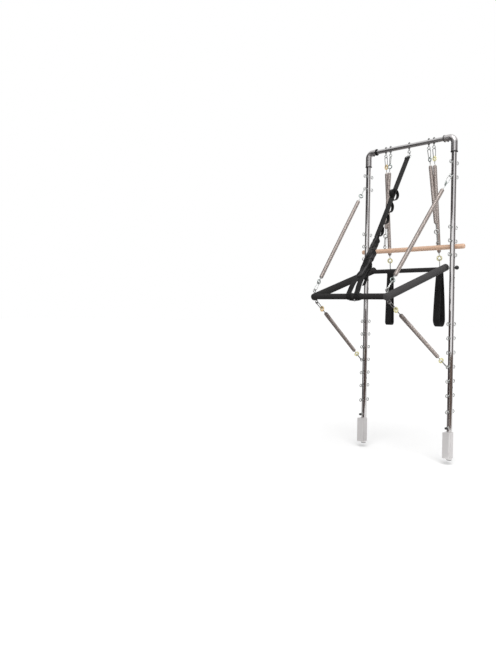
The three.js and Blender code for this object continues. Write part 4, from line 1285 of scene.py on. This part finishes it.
def build_arm(side, sign):
    x = sign * ARM_X
    tail = ARM_TAILS[side]
    end = on_bar(x, ARM_LENGTH + ARM_NOSE)
    foam_piece("arm_foam_" + side, on_bar(x, -tail), end, ARM_GRIP, ARM_GRIP_ROUNDS, ARM_FINISHES[side],
               "arm_grip_" + side)
    near = [(BUSH_RADIUS - BUSH_STEP, 0), (BUSH_RADIUS, BUSH_STEP / 2)]
    bush = [*near, *((radius, BUSH_WIDTH - distance) for radius, distance in near[::-1])]
    outer_face = on_bar(sign * (ARM_X + ARM_GRIP - BUSH_SUNK), 0)
    piece("arm_bush_" + side, turned(bush, outer_face, at(sign, 0, 0), COLLAR_STEPS), "dark gasket", BAR)
    rim = [(ARM_TUBE - step, distance) for step, distance in ARM_PLUG_RIM]
    inside = ARM_TUBE - TUBE_WALL
    plug = turned([*rim, (inside, FLANGE), (inside - GAP, PLUG_DEPTH)],
                  on_bar(x, -tail - FLANGE - GAP), ARM_FORWARD, LOOP_STEPS)
    piece("arm_plug_cap_" + side, plug, "black plastic", BAR, ["arm_plug_" + side])
    return tube(on_bar(x, -tail + SUNK), on_bar(x, ARM_LENGTH + ARM_TUBE_NOSE), ARM_TUBE)


def build_cross_foam():
    half = ARM_X - ARM_GRIP + BAR_GRIP_OVERLAP
    for name, forward, radius in (("front", ARM_LENGTH, FRONT_GRIP), ("rear", REAR_BAR_PLACE, REAR_GRIP)):
        foam_piece(name + "_foam", on_bar(-half, forward), on_bar(half, forward), radius,
                   (BAR_GRIP_ROUND, BAR_GRIP_ROUND), "bar foam", name + "_grip")


def build_corner_eyes():
    for side, sign in SIDES:
        base = on_bar(sign * ARM_X, CORNER_EYE_PLACE)
        form = Form()
        for way, turn in zip((ARM_UPWARD, -ARM_UPWARD), CORNER_EYE_TURNS[side]):
            facing = math.cos(math.radians(turn)) * ACROSS - math.sin(math.radians(turn)) * ARM_FORWARD
            form.join(eye_on_shank(base, way, facing, CORNER_EYE_REACH))
            form.join(turned(CORNER_COLLAR, base + way * (ARM_GRIP - CORNER_COLLAR_SUNK), way, WASHER_STEPS))
        piece("corner_eyes_" + side, form, "plated steel", BAR, ["corner_eye_" + side])


class TowerPushBar(bpy.types.Operator):
    """Makes the push-through bar: its tubes, foam, end plugs and corner eyes."""

    bl_idname = "tower.push_bar"
    bl_label = "Push-through Bar"

    def execute(self, context):
        tubes = joined(build_arm(side, sign) for side, sign in SIDES)
        build_cross_foam()
        piece("push_bar_tubes", tubes, "chrome tube", BAR, ["push_bar_frame"])
        build_corner_eyes()
        return {"FINISHED"}


# Snap hooks


def snap_hook(bearing, direction, width, length=HOOK_LENGTH):
    """A pear-shaped snap hook from the wire that it bears on: bent wire, and a gate on its pivot."""
    normal = np.cross(width, direction)
    start = bearing - direction * BITE
    wide = min(HOOK_WIDE, length / 3)
    narrow = min(HOOK_NARROW, length / 4)
    lean = math.acos((wide - narrow) / (length - wide - narrow))

    near = start + direction * wide
    far = start + direction * (length - narrow)
    wide_arc = arc(near, wide, direction, width, np.linspace(lean, 2 * math.pi - lean, 26))
    narrow_arc = arc(far, narrow, direction, width, np.linspace(-lean, lean, 20))
    back = [wide_arc[-1] + (narrow_arc[0] - wide_arc[-1]) * share for share in (0.33, 0.67)]
    span = narrow_arc[-1] - wide_arc[0]
    nose, hinge = (wide_arc[0] + span * share for share in GATE_SHARES)
    form = swept([nose, *wide_arc, *back, *narrow_arc, hinge], circle(HOOK_WIRE / 2, HOOK_STEPS), normal)
    inward = unit(np.cross(normal, span)) * SUNK
    start, end = nose + span * GATE_GAPS[0] - inward, hinge - span * GATE_GAPS[1] - inward
    gate = rod(start, end, GATE_RADIUS, (GATE_ROUND, GATE_ROUND), HOOK_STEPS)
    pivot = hinge - span * PIVOT_SHARE
    half = normal * (HOOK_WIRE / 2 + SUNK)
    return form.join(gate).join(rod(pivot - half, pivot + half, RIVET_RADIUS, (SUNK, SUNK), HOOK_STEPS))


# For each kind of spring line, the node and body of each hook, and how far its coil starts from each eye
SPRING_KINDS = {
    "upper": (("upper_hook_", TOWER), ("corner_hook_top_", BAR), (0.105, 0.090)),
    "lower": (("lower_hook_", TOWER), ("corner_hook_bottom_", BAR), (0.093, 0.103)),
    "bar": (("bar_spring_top_hook_", ROLL), ("bar_spring_bottom_hook_", ROLL), (0.098, 0.110)),
    "loop": (("loop_spring_top_hook_", SWING), ("loop_spring_bottom_hook_", SWING), (0.098, 0.093)),
}
# For each line, the compass angles that its hooks face, and the finishes of its rings
SPRING_ENDS = {
    ("upper", "left"): ((-42, 6), ("green grey ring", "green grey ring")),
    ("upper", "right"): ((40, -40), ("green grey ring", "green grey ring")),
    ("lower", "left"): ((-40, 0), ("yellow ring", "amber ring")),
    ("lower", "right"): ((-42, 0), ("yellow ring", "yellow ring")),
    ("bar", "left"): ((104, 100), ("green grey ring", "plated steel")),
    ("bar", "right"): ((66, 112), ("green grey ring", "plated steel")),
    ("loop", "left"): ((72, 118), ("amber ring", "yellow ring")),
    ("loop", "right"): ((66, 120), ("yellow ring", "yellow ring")),
}


class SpringLine:
    """A spring with its two rings and two snap hooks, in line between two eyes."""

    def __init__(self, kind, side, start_eye, end_eye):
        *hooks, insets = SPRING_KINDS[kind]
        turns, self.ring_finishes = SPRING_ENDS[kind, side]
        self.hook_nodes = [node + side for node, _ in hooks]
        self.bodies = [body + side if body.endswith("_") else body for _, body in hooks]
        self.direction = unit(end_eye - start_eye)
        self.bearings = (start_eye + self.direction * EYE_RADIUS, end_eye - self.direction * EYE_RADIUS)
        self.ways = (self.direction, -self.direction)
        self.flats = [self.across(math.radians(turn)) for turn in turns]
        self.coil = [place + way * inset for place, way, inset in zip(self.bearings, self.ways, insets)]

    def across(self, azimuth):
        """The direction square to the line that a hook's width lies along, given by its compass angle."""
        level = at(math.cos(azimuth), math.sin(azimuth), 0)
        return unit(level - self.direction * (level @ self.direction))

    def ring_centre(self, end, wire):
        reach = HOOK_LENGTH - BITE - (HOOK_WIRE + wire) / 2 - GAP + RING_RADIUS
        return self.bearings[end] + self.ways[end] * reach


def spring_lines():
    """Every spring line, with its kind and side."""
    for side, sign in SIDES:
        upper, lower = (at(sign * UPRIGHT_X, -EYE_REACH, z) for z in (UPPER_SPRING_EYE, LOWER_SPRING_EYE))
        above, below = (on_bar(sign * ARM_X, CORNER_EYE_PLACE, way * CORNER_EYE_REACH) for way in (1, -1))
        inner, outer = (at(CROSSBAR_EYES[2 + i * sign], 0, CROSSBAR_Z - EYE_REACH) for i in (1, 2))
        bearing = at(sign * LOOP_X, LOOP_Y, LOOP_RING_Z)
        ends = {
            "upper": (upper, above),
            "lower": (lower, below),
            "bar": (inner, at(sign * ROLL_EYE_X, ROLL_BAR[1], ROLL_EYE_Z)),
            "loop": (outer, bearing + unit(bearing - outer) * EYE_RADIUS),
        }
        for kind, eyes in ends.items():
            yield kind, side, SpringLine(kind, side, *eyes)


class TowerSnapHooks(bpy.types.Operator):
    """Makes the snap hooks at both ends of every spring."""

    bl_idname = "tower.snap_hooks"
    bl_label = "Snap Hooks"

    def execute(self, context):
        for _, _, line in spring_lines():
            for bearing, way, flat, node, body in zip(
                line.bearings, line.ways, line.flats, line.hook_nodes, line.bodies
            ):
                piece("snap_" + node, snap_hook(bearing, way, flat), "plated steel", body, [node])
        return {"FINISHED"}


# Springs and rings


def coil_mesh(line, settings):
    """A spring's coil between the ends of its stems."""
    start, end = line.coil
    length = np.linalg.norm(end - start)
    values = {
        "Length": length,
        "Turns": round(length / settings.pitch),
        "Coil Radius": SPRING_RADIUS - settings.wire_diameter / 2,
        "Wire Radius": settings.wire_diameter / 2,
        "End Length": COIL_END_LENGTH,
        "End Share": COIL_END_SHARE,
        "Finish": finish("spring wire"),
    }
    mesh = grown(spring_group(), values)
    side = line.across(0.0)
    axes = np.column_stack((side, np.cross(line.direction, side), line.direction))
    mesh.transform(Matrix.Translation(start) @ Matrix(axes.tolist()).to_4x4())
    return mesh


def stem(ring_edge, mouth):
    """The eyelet of a spring: the neck from its ring, and the cap in the coil's mouth."""
    length = np.linalg.norm(mouth - ring_edge)
    profile = [(radius, length * share + past) for radius, share, past in STEM_NECK + STEM_CAP]
    return turned(profile, ring_edge, unit(mouth - ring_edge), WASHER_STEPS)


class TowerSprings(bpy.types.Operator):
    """Makes the wound springs, their end caps and the rings that the hooks hold."""

    bl_idname = "tower.springs"
    bl_label = "Springs and Rings"

    def execute(self, context):
        settings = context.scene.tower_springs
        for kind, side, line in spring_lines():
            node = f"{kind}_spring_{side}"
            first, last = line.bodies
            coil = dressed("coil_" + node, coil_mesh(line, settings), "spring wire",
                           first if first == last else None, [node], sharp=180.0)
            if first != last:
                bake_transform(coil)
            for i, end in enumerate(("start", "end")):
                look = line.ring_finishes[i]
                wire = SOFT_RING_WIRE if look in ("yellow ring", "amber ring") else RING_WIRE
                centre = line.ring_centre(i, wire)
                form = ring(centre, line.flats[i], RING_RADIUS, wire)
                piece(f"ring_{kind}_{end}_{side}", form, look, line.bodies[i], slot="spring_steel")
                edge = centre + line.ways[i] * (RING_RADIUS + wire / 2 - STEM_SUNK)
                piece(f"cap_{kind}_{end}_{side}", stem(edge, line.coil[i]), "plated steel", line.bodies[i],
                      slot="spring_steel")
        return {"FINISHED"}


# Roll-down bar


class TowerRollBar(bpy.types.Operator):
    """Makes the wooden roll-down bar and the eye screws that it hangs by."""

    bl_idname = "tower.roll_bar"
    bl_label = "Roll-down Bar"

    def execute(self, context):
        half = ACROSS * ROLL_BAR_HALF
        core = at(0, ROLL_BAR[1], ROLL_BAR[2])
        rounds = (ROLL_BAR_ROUND, ROLL_BAR_ROUND)
        form = rod(core - half, core + half, ROLL_BAR_RADIUS, rounds, TUBE_STEPS, fineness=12, stations=30)
        piece("wooden_bar", form, "lacquered beech", ROLL, ["roll_down_bar"])
        for side, sign in SIDES:
            surface = core + at(sign * ROLL_EYE_X, 0, ROLL_BAR_RADIUS)
            form = ring(at(surface[0], surface[1], ROLL_EYE_Z), REAR, EYE_RADIUS, EYE_WIRE)
            form.join(threaded(surface - UP * SCREW_DEPTH, UP, SCREW_LENGTH))
            form.join(turned(SCREW_COLLAR, surface, UP, WASHER_STEPS))
            piece("bar_eye_screw_" + side, form, "plated steel", ROLL, ["roll_bar_eye_" + side])
        return {"FINISHED"}


# Hand loops


def loop_ring_form(x):
    """A ring with a straight bottom for the webbing and a bow for the hook."""
    bow = LOOP_RING_DEPTH / 4
    half = LOOP_RING_HALF
    right = [(half, LOOP_BAR_Z), (half - bow, LOOP_RING_Z - bow), (LOOP_RING_CROWN, LOOP_RING_Z)]
    corners = [at(x + px, LOOP_Y, z) for px, z in [*right, *((-px, z) for px, z in reversed(right))]]
    return swept(filleted(corners, LOOP_RING_ROUND), circle(FLAT_WIRE_RADIUS), REAR, loop=True)


def loop_path(x, bottom_round, inset=0.0):
    """The middle of the webbing's thickness, over the ring, down in front and up behind."""
    top_radius = FLAT_WIRE_RADIUS + LOOP_SLACK + LOOP_THICKNESS / 2 - inset
    bottom_radius = bottom_round + LOOP_THICKNESS / 2 - inset
    bottom_z = LOOP_BOTTOM_Z + LOOP_THICKNESS + bottom_round
    lean = math.asin((bottom_radius - top_radius) / (LOOP_BAR_Z - bottom_z))

    turns = np.linspace(lean, math.pi - lean, 14)
    top = arc(at(x, LOOP_Y, LOOP_BAR_Z), top_radius, REAR, UP, turns)
    turns = np.linspace(math.pi - lean, 2 * math.pi + lean, 30)
    bottom = arc(at(x, LOOP_Y, bottom_z), bottom_radius, REAR, UP, turns)
    down = np.linspace(top[-1], bottom[0], 27)[1:-1]
    up = np.linspace(bottom[-1], top[0], 27)[1:-1]
    return np.vstack((top, down, bottom, up))


def twisted(points, side, x):
    """Turns points about the plumb line of a hand loop, more and more towards its bottom."""
    points = np.array(points)
    share = np.clip((LOOP_BAR_Z - points[:, 2]) / (LOOP_BAR_Z - LOOP_BOTTOM_Z), 0, 1)
    turn = math.radians(LOOP_TWISTS[side]) * share
    px, py = points[:, 0] - x, points[:, 1] - LOOP_Y
    points[:, 0] = x + px * np.cos(turn) - py * np.sin(turn)
    points[:, 1] = LOOP_Y + px * np.sin(turn) + py * np.cos(turn)
    return points.tolist()


def build_hand_loop(side, x, inset):
    body = "hand_loop_" + side

    def band(name, path, width, thickness, loop, replaces=()):
        form = swept(path, tape(width, thickness), ACROSS, loop)
        form.points = twisted(form.points, side, x)
        piece(name + side, form, "black webbing", body, replaces, sharp=180.0)

    piece("loop_ring_wire_" + side, loop_ring_form(x), "plated steel", body, ["loop_ring_" + side])
    path = loop_path(x, LOOP_BOTTOM_RADII[side])
    outer = loop_path(x, LOOP_BOTTOM_RADII[side], -LOOP_THICKNESS / 2)
    lifts = (1 + plies * PLY / LOOP_THICKNESS for plies in (1, 2))
    patch, face = ((path + (outer - path) * lift)[OVERLAP_ROWS] for lift in lifts)
    band("loop_band_", path, LOOP_WIDTH, LOOP_THICKNESS, True, [body])
    band("loop_overlap_", patch, LOOP_WIDTH - OVERLAP_INSET, PLY, False)
    edge = ACROSS * (LOOP_WIDTH / 2 - OVERLAP_SEAM_INSET)
    first, last = face[0], face[-1]
    rows = [face + edge, face - edge, [first + edge, first - edge], [last + edge, last - edge]]
    rows += [[first + edge, last - edge], [first - edge, last + edge]]
    rows += [np.vstack((outer, outer[:1])) + ACROSS * way * (LOOP_WIDTH / 2 - inset) for way in (-1, 1)]
    stitches("loop_stitches_" + side, [twisted(row, side, x) for row in rows], body)


class TowerHandLoops(bpy.types.Operator):
    """Makes the webbing hand loops, their seams and the rings that they hang from."""

    bl_idname = "tower.hand_loops"
    bl_label = "Hand Loops"

    def execute(self, context):
        for side, sign in SIDES:
            build_hand_loop(side, sign * LOOP_X, context.scene.tower_soft.stitch_inset)
        return {"FINISHED"}


# Safety strap


class Line:
    """Places along a straight stretch of webbing, beside it and behind it. A turn is about the stretch."""

    def __init__(self, start, end, turn=0.0):
        self.start = start
        self.length = np.linalg.norm(end - start)
        self.onward = unit(end - start)
        level = unit(ACROSS - self.onward * self.onward[0])
        turn = math.radians(turn)
        self.aside = level * math.cos(turn) + np.cross(level, self.onward) * math.sin(turn)
        self.behind = np.cross(self.aside, self.onward)

    def at(self, distance, aside=0.0, behind=0.0):
        return self.start + self.onward * distance + self.aside * aside + self.behind * behind


STRAP_TOP = at(0, 0, CROSSBAR_Z - EYE_REACH - EYE_RADIUS)
STRAP_FOOT = on_bar(STRAP_X, ARM_LENGTH, FRONT_GRIP)
TAUT = Line(STRAP_TOP, STRAP_FOOT)
PACKS_START = TAUT.length - PACKS_LENGTH
KNEE = TAUT.at(PACKS_START, 0, STRAP_KNEE)
UPPER = Line(STRAP_TOP, KNEE, -5)
LOWER = Line(KNEE, STRAP_FOOT, -10)


def bent(made):
    """Bakes a piece's place into its mesh, leaving it free between the tower and the bar, as the strap is."""
    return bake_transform(made)


def strap_piece(name, form, replaces=()):
    bent(piece("strap_" + name, form, "black webbing", None, replaces, sharp=180.0))


def bar_webbing(name, path, width, side, loop=False):
    """Webbing that stays on the push-through bar."""
    piece("strap_" + name, swept(path, tape(width, PLY), side, loop), "black webbing", BAR, sharp=180.0)


def strap_plies():
    """The two plies of the strap, folded over the slide's bar and sewn flat on each other."""
    half = PLY / 2 + PLY_GAP
    radius = FLAT_WIRE_RADIUS + LOOSE + PLY / 2
    turns = np.linspace(-math.pi / 2, math.pi / 2, 13)
    fold = arc(UPPER.at(SLIDE_FAR), radius, -UPPER.onward, UPPER.behind, turns)
    rear = [UPPER.at(s, 0, half) for s in (SEAM_NEAR, 0.12, 0.2, 0.3, 0.4, 0.5, 0.6, PACKS_START)]
    rear += [LOWER.at(s, 0, half) for s in (0.04, 0.1, 0.16, 0.22, 0.26)]
    front = [UPPER.at(s, 0, -half) for s in (SEAM_NEAR, 0.12, 0.2, 0.26, 0.34, 0.42, 0.5, 0.6, 0.66)]
    return smooth([*reversed(front), *fold, *rear], 260)


def arch(start, length, rise, lean, way):
    """The path of one loop sewn on the strap, on its rear or on its front."""
    lift = PLY * 1.5 + GAP
    shares = (
        (-0.07, 0.0), (0.03, 0.0), (0.06, 0.3), (0.16, 0.72), (0.34 + lean, 0.97), (0.56 + lean, 1.0),
        (0.79, 0.8), (0.94, 0.36), (0.98, 0.0), (1.08, 0.0),
    )
    places = [(start + length * share, 0, way * (lift + rise * height)) for share, height in shares]
    return smooth([UPPER.at(*place) for place in places], 60)


def lump(start, end, width, depth, waists, seed):
    """A pack of webbing folded up behind the strap: full, creased, and drawn in at both ends."""
    random = np.random.default_rng(seed)
    phases = random.uniform(0, 2 * math.pi, 6)
    rows, reliefs = [], []
    for t in (1 - np.cos(np.linspace(0, math.pi, 64))) / 2:
        swell = waists[0] + (1 - waists[0]) * math.sin(math.pi / 2 * min(1.0, t / 0.34))
        if t > 0.8:
            swell *= waists[1] + (1 - waists[1]) * math.sqrt(max(0.0, 1 - ((t - 0.8) / 0.2) ** 2))
        mouth = min(1.0, 0.2 + 0.8 * math.sqrt(min(t, 1 - t) / 0.04))
        half, deep = width / 2 * swell * mouth, depth / 2 * swell * mouth
        centre = depth / 2 * swell - PACK_FRONT
        fullness = math.sin(math.pi * t) ** 0.5
        wander = 0.9 * math.sin(5 * t + phases[0])
        row = []
        for turn in full_turn(72):
            c, s = math.cos(turn), math.sin(turn)
            across, behind = half * math.copysign(abs(c) ** 0.5, c), deep * math.copysign(abs(s) ** 0.5, s)
            layers = 0.0034 * (abs(math.sin(behind / depth * 5 * math.pi + wander)) ** 0.8 - 0.7) * abs(c)
            pulls = 0.0036 * (abs(math.sin(across * 190 + t * 4 + phases[1])) ** 0.8 - 0.7) * abs(s)
            folds = 0.0022 * math.sin(t * 21 + across * 130 + behind * 110 + phases[2]) * (1.15 - fullness)
            sway = 0.0016 * math.sin(3 * turn + phases[3] + 5 * t)
            out = (layers + pulls) * fullness + folds + sway
            # A painted shine in streaks; with the folds' rise, it makes the painted light kept at each point:
            # painted highlights on raised folds, painted shade in creases
            shine = math.sin(across * 95 + behind * 60 + t * 7 + phases[4])
            shine *= math.sin(t * 11 + across * 60 + phases[5])
            reliefs.append(max(-1.0, min(1.0, 480 * out + 0.7 * shine)))
            row.append(LOWER.at(start + (end - start) * t, across + out * c, centre + behind + out * s))
        rows.append(row)
    form = Form().grid(rows)
    form.relief = reliefs
    return form


def build_packs():
    """Three packs of folded webbing, and the two keepers that draw them in."""
    for name, *sizes in PACKS:
        strap_piece("pack_" + name, lump(*sizes))
    for name, place, width, depth in KEEPERS:
        half = width / 2 + PLY
        front = -KEEPER_FRONT - PLY
        plan = ((half, front), (half, depth), (-half, depth), (-half, front))
        corners = [LOWER.at(place, aside, behind) for aside, behind in plan]
        form = swept(filleted(corners, KEEPER_ROUND), tape(KEEPER_WIDTH, KEEPER_PLY), LOWER.onward, loop=True)
        strap_piece("keeper_" + name, form)


def build_legs():
    """Two legs that spread from the packs to the bar, the bands round it, and the web under it."""
    band_radius = FRONT_GRIP + LOOSE + PLY / 2
    for name, sign in SIDES:
        axis_point = on_bar(STRAP_X + sign * LEG_SPREAD, ARM_LENGTH)
        seat = axis_point + unit(ARM_UPWARD * LEG_RISE - LOWER.behind) * (band_radius + PLY)
        points = [
            *(LOWER.at(*place) for place in LEG_TOPS[name]),
            seat - LOWER.onward * LEG_BOW_PLACE - ACROSS * LEG_BOWS[name],
            seat - LOWER.onward * LEG_STRAIGHT,
            seat,
            axis_point - LOWER.behind * (band_radius + PLY * 0.9),
        ]
        strap_piece("leg_" + name, swept(smooth(points, 50), tape(LEG_WIDTH, LEG_PLY), ACROSS))
        around = arc(axis_point, band_radius, ARM_UPWARD, ARM_FORWARD, full_turn(LOOP_STEPS))
        bar_webbing("band_" + name, around, LEG_WIDTH, ACROSS, loop=True)
    under = [
        on_bar(STRAP_X + BRIDGE_HALF * share, ARM_LENGTH,
               -band_radius - BRIDGE_SAG * (1 + math.cos(share * math.pi / 2)))
        for share in np.linspace(-1, 1, 25)
    ]
    bar_webbing("bridge", under, BRIDGE_WIDTH, ARM_FORWARD)
    across, forward, below = STRAP_RING_PLACE
    centre = on_bar(STRAP_X + across, ARM_LENGTH + forward, -band_radius - below)
    piece("strap_ring", ring(centre, ARM_FORWARD, STRAP_RING_RADIUS, STRAP_RING_WIRE), "plated steel", BAR)


def build_webbing():
    """The strap itself, its sewn loops, the tab in front of the first one, and the loose tail."""
    strap_piece("web", swept(strap_plies(), tape(STRAP_WIDTH, PLY), UPPER.aside), ["safety_strap"])
    for i, start in enumerate(LOOP_STARTS):
        path = arch(start, LOOP_LENGTH, LOOP_RISES[i], LOOP_LEAN * (i % 2), 1)
        strap_piece(f"loop_{i + 1}", swept(path, tape(LOOP_WEB, LOOP_PLY), UPPER.aside))
    tab = Form()
    for start, length, rise in zip(TAB_STARTS, TAB_LENGTHS, TAB_RISES):
        fold = arch(start, length, rise, LOOP_LEAN, -1)
        tab.join(swept(fold, tape(TAB_WIDTH, TAB_PLY), UPPER.aside))
    strap_piece("tab", tab)
    tail = smooth([LOWER.at(*place) for place in TAIL_PLACES], 24)
    strap_piece("tail", swept(tail, tape(TAIL_WIDTH, PLY), ACROSS))


def build_strap_stitches(inset):
    edge = STRAP_WIDTH / 2 - inset
    seam = LOOP_WEB / 2 - LOOP_SEAM_INSET
    front = -PLY - 2 * PLY_GAP
    rear = PLY * 2 + 2 * GAP
    stations = np.linspace(SEAM_START, PACKS_START - SEAM_END_MARGIN, 40)
    rows = [[UPPER.at(s, way * edge, front) for s in stations] for way in (-1, 1)]
    near, far = SEAM_NEAR, SEAM_FAR
    for start, end in ((near, near), (far, far), (near, far), (far, near)):
        rows.append([UPPER.at(start, -edge, front), UPPER.at(end, edge, front)])
    for place in (start + seam_place for start in LOOP_STARTS for seam_place in LOOP_SEAMS):
        for half, face in ((edge, front), (seam, rear)):
            rows.append([UPPER.at(place, -half, face), UPPER.at(place, half, face)])
    bent(stitches("strap_stitches", rows, None))


def build_strap_hook():
    """The short snap hook of the strap, with the slide that the webbing is folded over."""
    form = snap_hook(STRAP_TOP, UPPER.onward, UPPER.behind, STRAP_HOOK_LENGTH)
    half = STRAP_WIDTH / 2 + SLIDE_MARGIN
    plan = ((SLIDE_NEAR, half), (SLIDE_NEAR, -half), (SLIDE_FAR, -half), (SLIDE_FAR, half))
    corners = filleted([UPPER.at(*place) for place in plan], SLIDE_ROUND)
    form.join(swept(corners, circle(FLAT_WIRE_RADIUS), UPPER.behind, loop=True))
    piece("strap_snap_hook", form, "plated steel", TOWER, ["strap_hook"])


class TowerSafetyStrap(bpy.types.Operator):
    """Makes the safety strap: its webbing, sewn loops, folded packs, legs, bands and hook."""

    bl_idname = "tower.safety_strap"
    bl_label = "Safety Strap"

    def execute(self, context):
        build_webbing()
        build_packs()
        build_legs()
        build_strap_stitches(context.scene.tower_soft.stitch_inset)
        build_strap_hook()
        return {"FINISHED"}


# Stage

CAMERA_PLACE = (2.3540, -3.4921, 0.8415)
CAMERA_TURN = (90.89394, -1.28646, 47.85906)
PICTURE_SIZE = (496, 664)
FOCAL_PIXELS = 647.94
PRINCIPAL_POINT = (246.149, 301.136)
FLOOR_REACH = 40.0
FLOOR_LIFT = 0.22
FLAG_DISTANCE = 3.2
FLAG_LOW = -0.03
FLAG_HIGH = 3.1
KEY_SPREAD = 40
KEY_TURN = (38, 8, 30)
WHITE = (1, 1, 1, 1)


def build_camera():
    data = bpy.data.cameras.new("camera")
    long_side = max(PICTURE_SIZE)
    data.lens = FOCAL_PIXELS / long_side * data.sensor_width
    data.shift_x = (PICTURE_SIZE[0] / 2 - PRINCIPAL_POINT[0]) / long_side
    data.shift_y = (PRINCIPAL_POINT[1] - PICTURE_SIZE[1] / 2) / long_side
    camera = placed("camera", data)
    turn = Euler([math.radians(angle) for angle in CAMERA_TURN])
    camera.matrix_world = Matrix.LocRotScale(CAMERA_PLACE, turn, None)
    bpy.context.scene.camera = camera


def card(name, panels, material):
    """Flat stage panels of four corners each."""
    faces = [tuple(range(i, i + 4)) for i in range(0, 4 * len(panels), 4)]
    mesh = meshed(name, [tuple(corner) for panel in panels for corner in panel], faces)
    mesh.materials.append(material)
    made = placed(name, mesh)
    return made


def level(x_low, x_high, y_low, y_high, z):
    """A level panel."""
    return [at(x_low, y_low, z), at(x_high, y_low, z), at(x_high, y_high, z), at(x_low, y_high, z)]


def fence(plan, low, high):
    """Upright panels between the points of a plan."""
    return [[at(*a, low), at(*b, low), at(*b, high), at(*a, high)] for a, b in zip(plan, plan[1:])]


def build_floor(settings):
    material, graph = new_material("floor")
    matt = graph.add("ShaderNodeBsdfDiffuse", {"Color": rgba(settings.floor)})
    lift = graph.add("ShaderNodeEmission", {"Color": WHITE, "Strength": FLOOR_LIFT})
    both = graph.add("ShaderNodeAddShader", {0: matt[0], 1: lift[0]})
    path = graph.add("ShaderNodeLightPath")
    shown = graph.math("MAXIMUM", path["Is Camera Ray"], path["Is Glossy Ray"])
    surface = graph.add("ShaderNodeMixShader", {0: shown, 1: matt[0], 2: both[0]})
    graph.add("ShaderNodeOutputMaterial", {"Surface": surface[0]})
    reach = FLOOR_REACH
    card("floor", [level(-reach, reach, -reach, reach, -settings.floor_height)], material)


def flag(name, colour, panels):
    """A dark card that only reflections see."""
    material = bpy.data.materials.new(name)
    material.use_nodes = True
    inputs = material.node_tree.nodes["Principled BSDF"].inputs
    inputs["Base Color"].default_value = rgba(colour)
    inputs["Roughness"].default_value = 1.0
    made = card(name, panels, material)
    made.visible_camera = False
    made.visible_diffuse = False
    made.visible_shadow = False
    made.visible_transmission = False


def build_flags():
    """Flags set as in a studio, to draw the edges of polished tubes."""
    for name, shade, first, last, foot in (
        ("flag_left", 0.09, 156, 246, FLAG_LOW),
        ("flag_high", 0.1, 246, 296, 1.85),
        ("flag_right", 0.3, -24, 50, FLAG_LOW),
    ):
        turns = np.radians((first, last))[:, None]
        plan = FLAG_DISTANCE * np.hstack((np.cos(turns), np.sin(turns)))
        flag(name, (shade, shade * 0.95, shade * 0.95), fence(plan, foot, FLAG_HIGH))
    half, near, far, top = 0.34, -0.42, -2.3, 0.88
    plan = ((half, near), (half, far), (-half, far), (-half, near), (half, near))
    flag("flag_low", (0.09, 0.06, 0.055), [*fence(plan, FLAG_LOW, top), level(-half, half, far, near, top)])
    flag("flag_near", (0.2, 0.15, 0.125), fence(((0.45, -1.1), (1.3, -0.5), (1.3, 0.5)), 0, 0.56))
    flag("flag_mat", (0.28, 0.27, 0.27), [level(-3.2, 0.3, -3.4, 3, 0)])


def build_light(settings):
    world = bpy.data.worlds.new("studio")
    bpy.context.scene.world = world
    world.use_nodes = True
    world.node_tree.nodes.clear()
    graph = Graph(world.node_tree)
    lit = graph.add("ShaderNodeBackground", {"Color": WHITE, "Strength": settings.ambient})
    seen = graph.add("ShaderNodeBackground", {"Color": WHITE, "Strength": 1.0})
    path = graph.add("ShaderNodeLightPath")
    shown = graph.math("MAXIMUM", path["Is Camera Ray"], path["Is Glossy Ray"])
    shown = graph.math("MAXIMUM", shown, path["Is Transmission Ray"])
    both = graph.add("ShaderNodeMixShader", {0: shown, 1: lit[0], 2: seen[0]})
    graph.add("ShaderNodeOutputWorld", {"Surface": both[0]})
    lamp = bpy.data.lights.new("key", "SUN")
    lamp.energy = settings.key
    lamp.angle = math.radians(KEY_SPREAD)
    placed("key", lamp).rotation_euler = [math.radians(angle) for angle in KEY_TURN]


class TowerStage(bpy.types.Operator):
    """Makes the floor, the light and the camera, none of them part of the object."""

    bl_idname = "tower.stage"
    bl_label = "Stage"

    def execute(self, context):
        settings = context.scene.tower_stage
        build_camera()
        build_floor(settings)
        build_flags()
        build_light(settings)
        context.scene.view_settings.view_transform = "Standard"
        return {"FINISHED"}


# The add-on

STEPS = (
    TowerStage,
    TowerPortal,
    TowerBrackets,
    TowerEyeBolts,
    TowerKnobs,
    TowerPushBar,
    TowerSnapHooks,
    TowerSprings,
    TowerRollBar,
    TowerHandLoops,
    TowerSafetyStrap,
)
SETTINGS = {
    "tower_tubes": TowerTubeSettings,
    "tower_springs": TowerSpringSettings,
    "tower_soft": TowerSoftSettings,
    "tower_wood": TowerWoodSettings,
    "tower_stage": TowerStageSettings,
}


class TowerPanel(bpy.types.Panel):
    """Lists the steps that dress the tower, and their settings."""

    bl_idname = "VIEW3D_PT_tower"
    bl_label = "Tower Unit"
    bl_space_type = "VIEW_3D"
    bl_region_type = "UI"
    bl_category = "Tower"

    def draw(self, context):
        for step in STEPS:
            self.layout.operator(step.bl_idname)
        for name in SETTINGS:
            box = self.layout.box()
            for key in SETTINGS[name].__annotations__:
                box.prop(getattr(context.scene, name), key)


def register():
    for made in (*SETTINGS.values(), *STEPS, TowerPanel):
        bpy.utils.register_class(made)
    for name, settings in SETTINGS.items():
        setattr(bpy.types.Scene, name, PointerProperty(type=settings))


def unregister():
    for name in SETTINGS:
        delattr(bpy.types.Scene, name)
    for made in (TowerPanel, *reversed(STEPS), *reversed(SETTINGS.values())):
        bpy.utils.unregister_class(made)


def main():
    register()
    for step in STEPS:
        group, name = step.bl_idname.split(".")
        if getattr(getattr(bpy.ops, group), name)() != {"FINISHED"}:
            raise RuntimeError(step.bl_label + " did not finish")


if __name__ == "__main__":
    main()
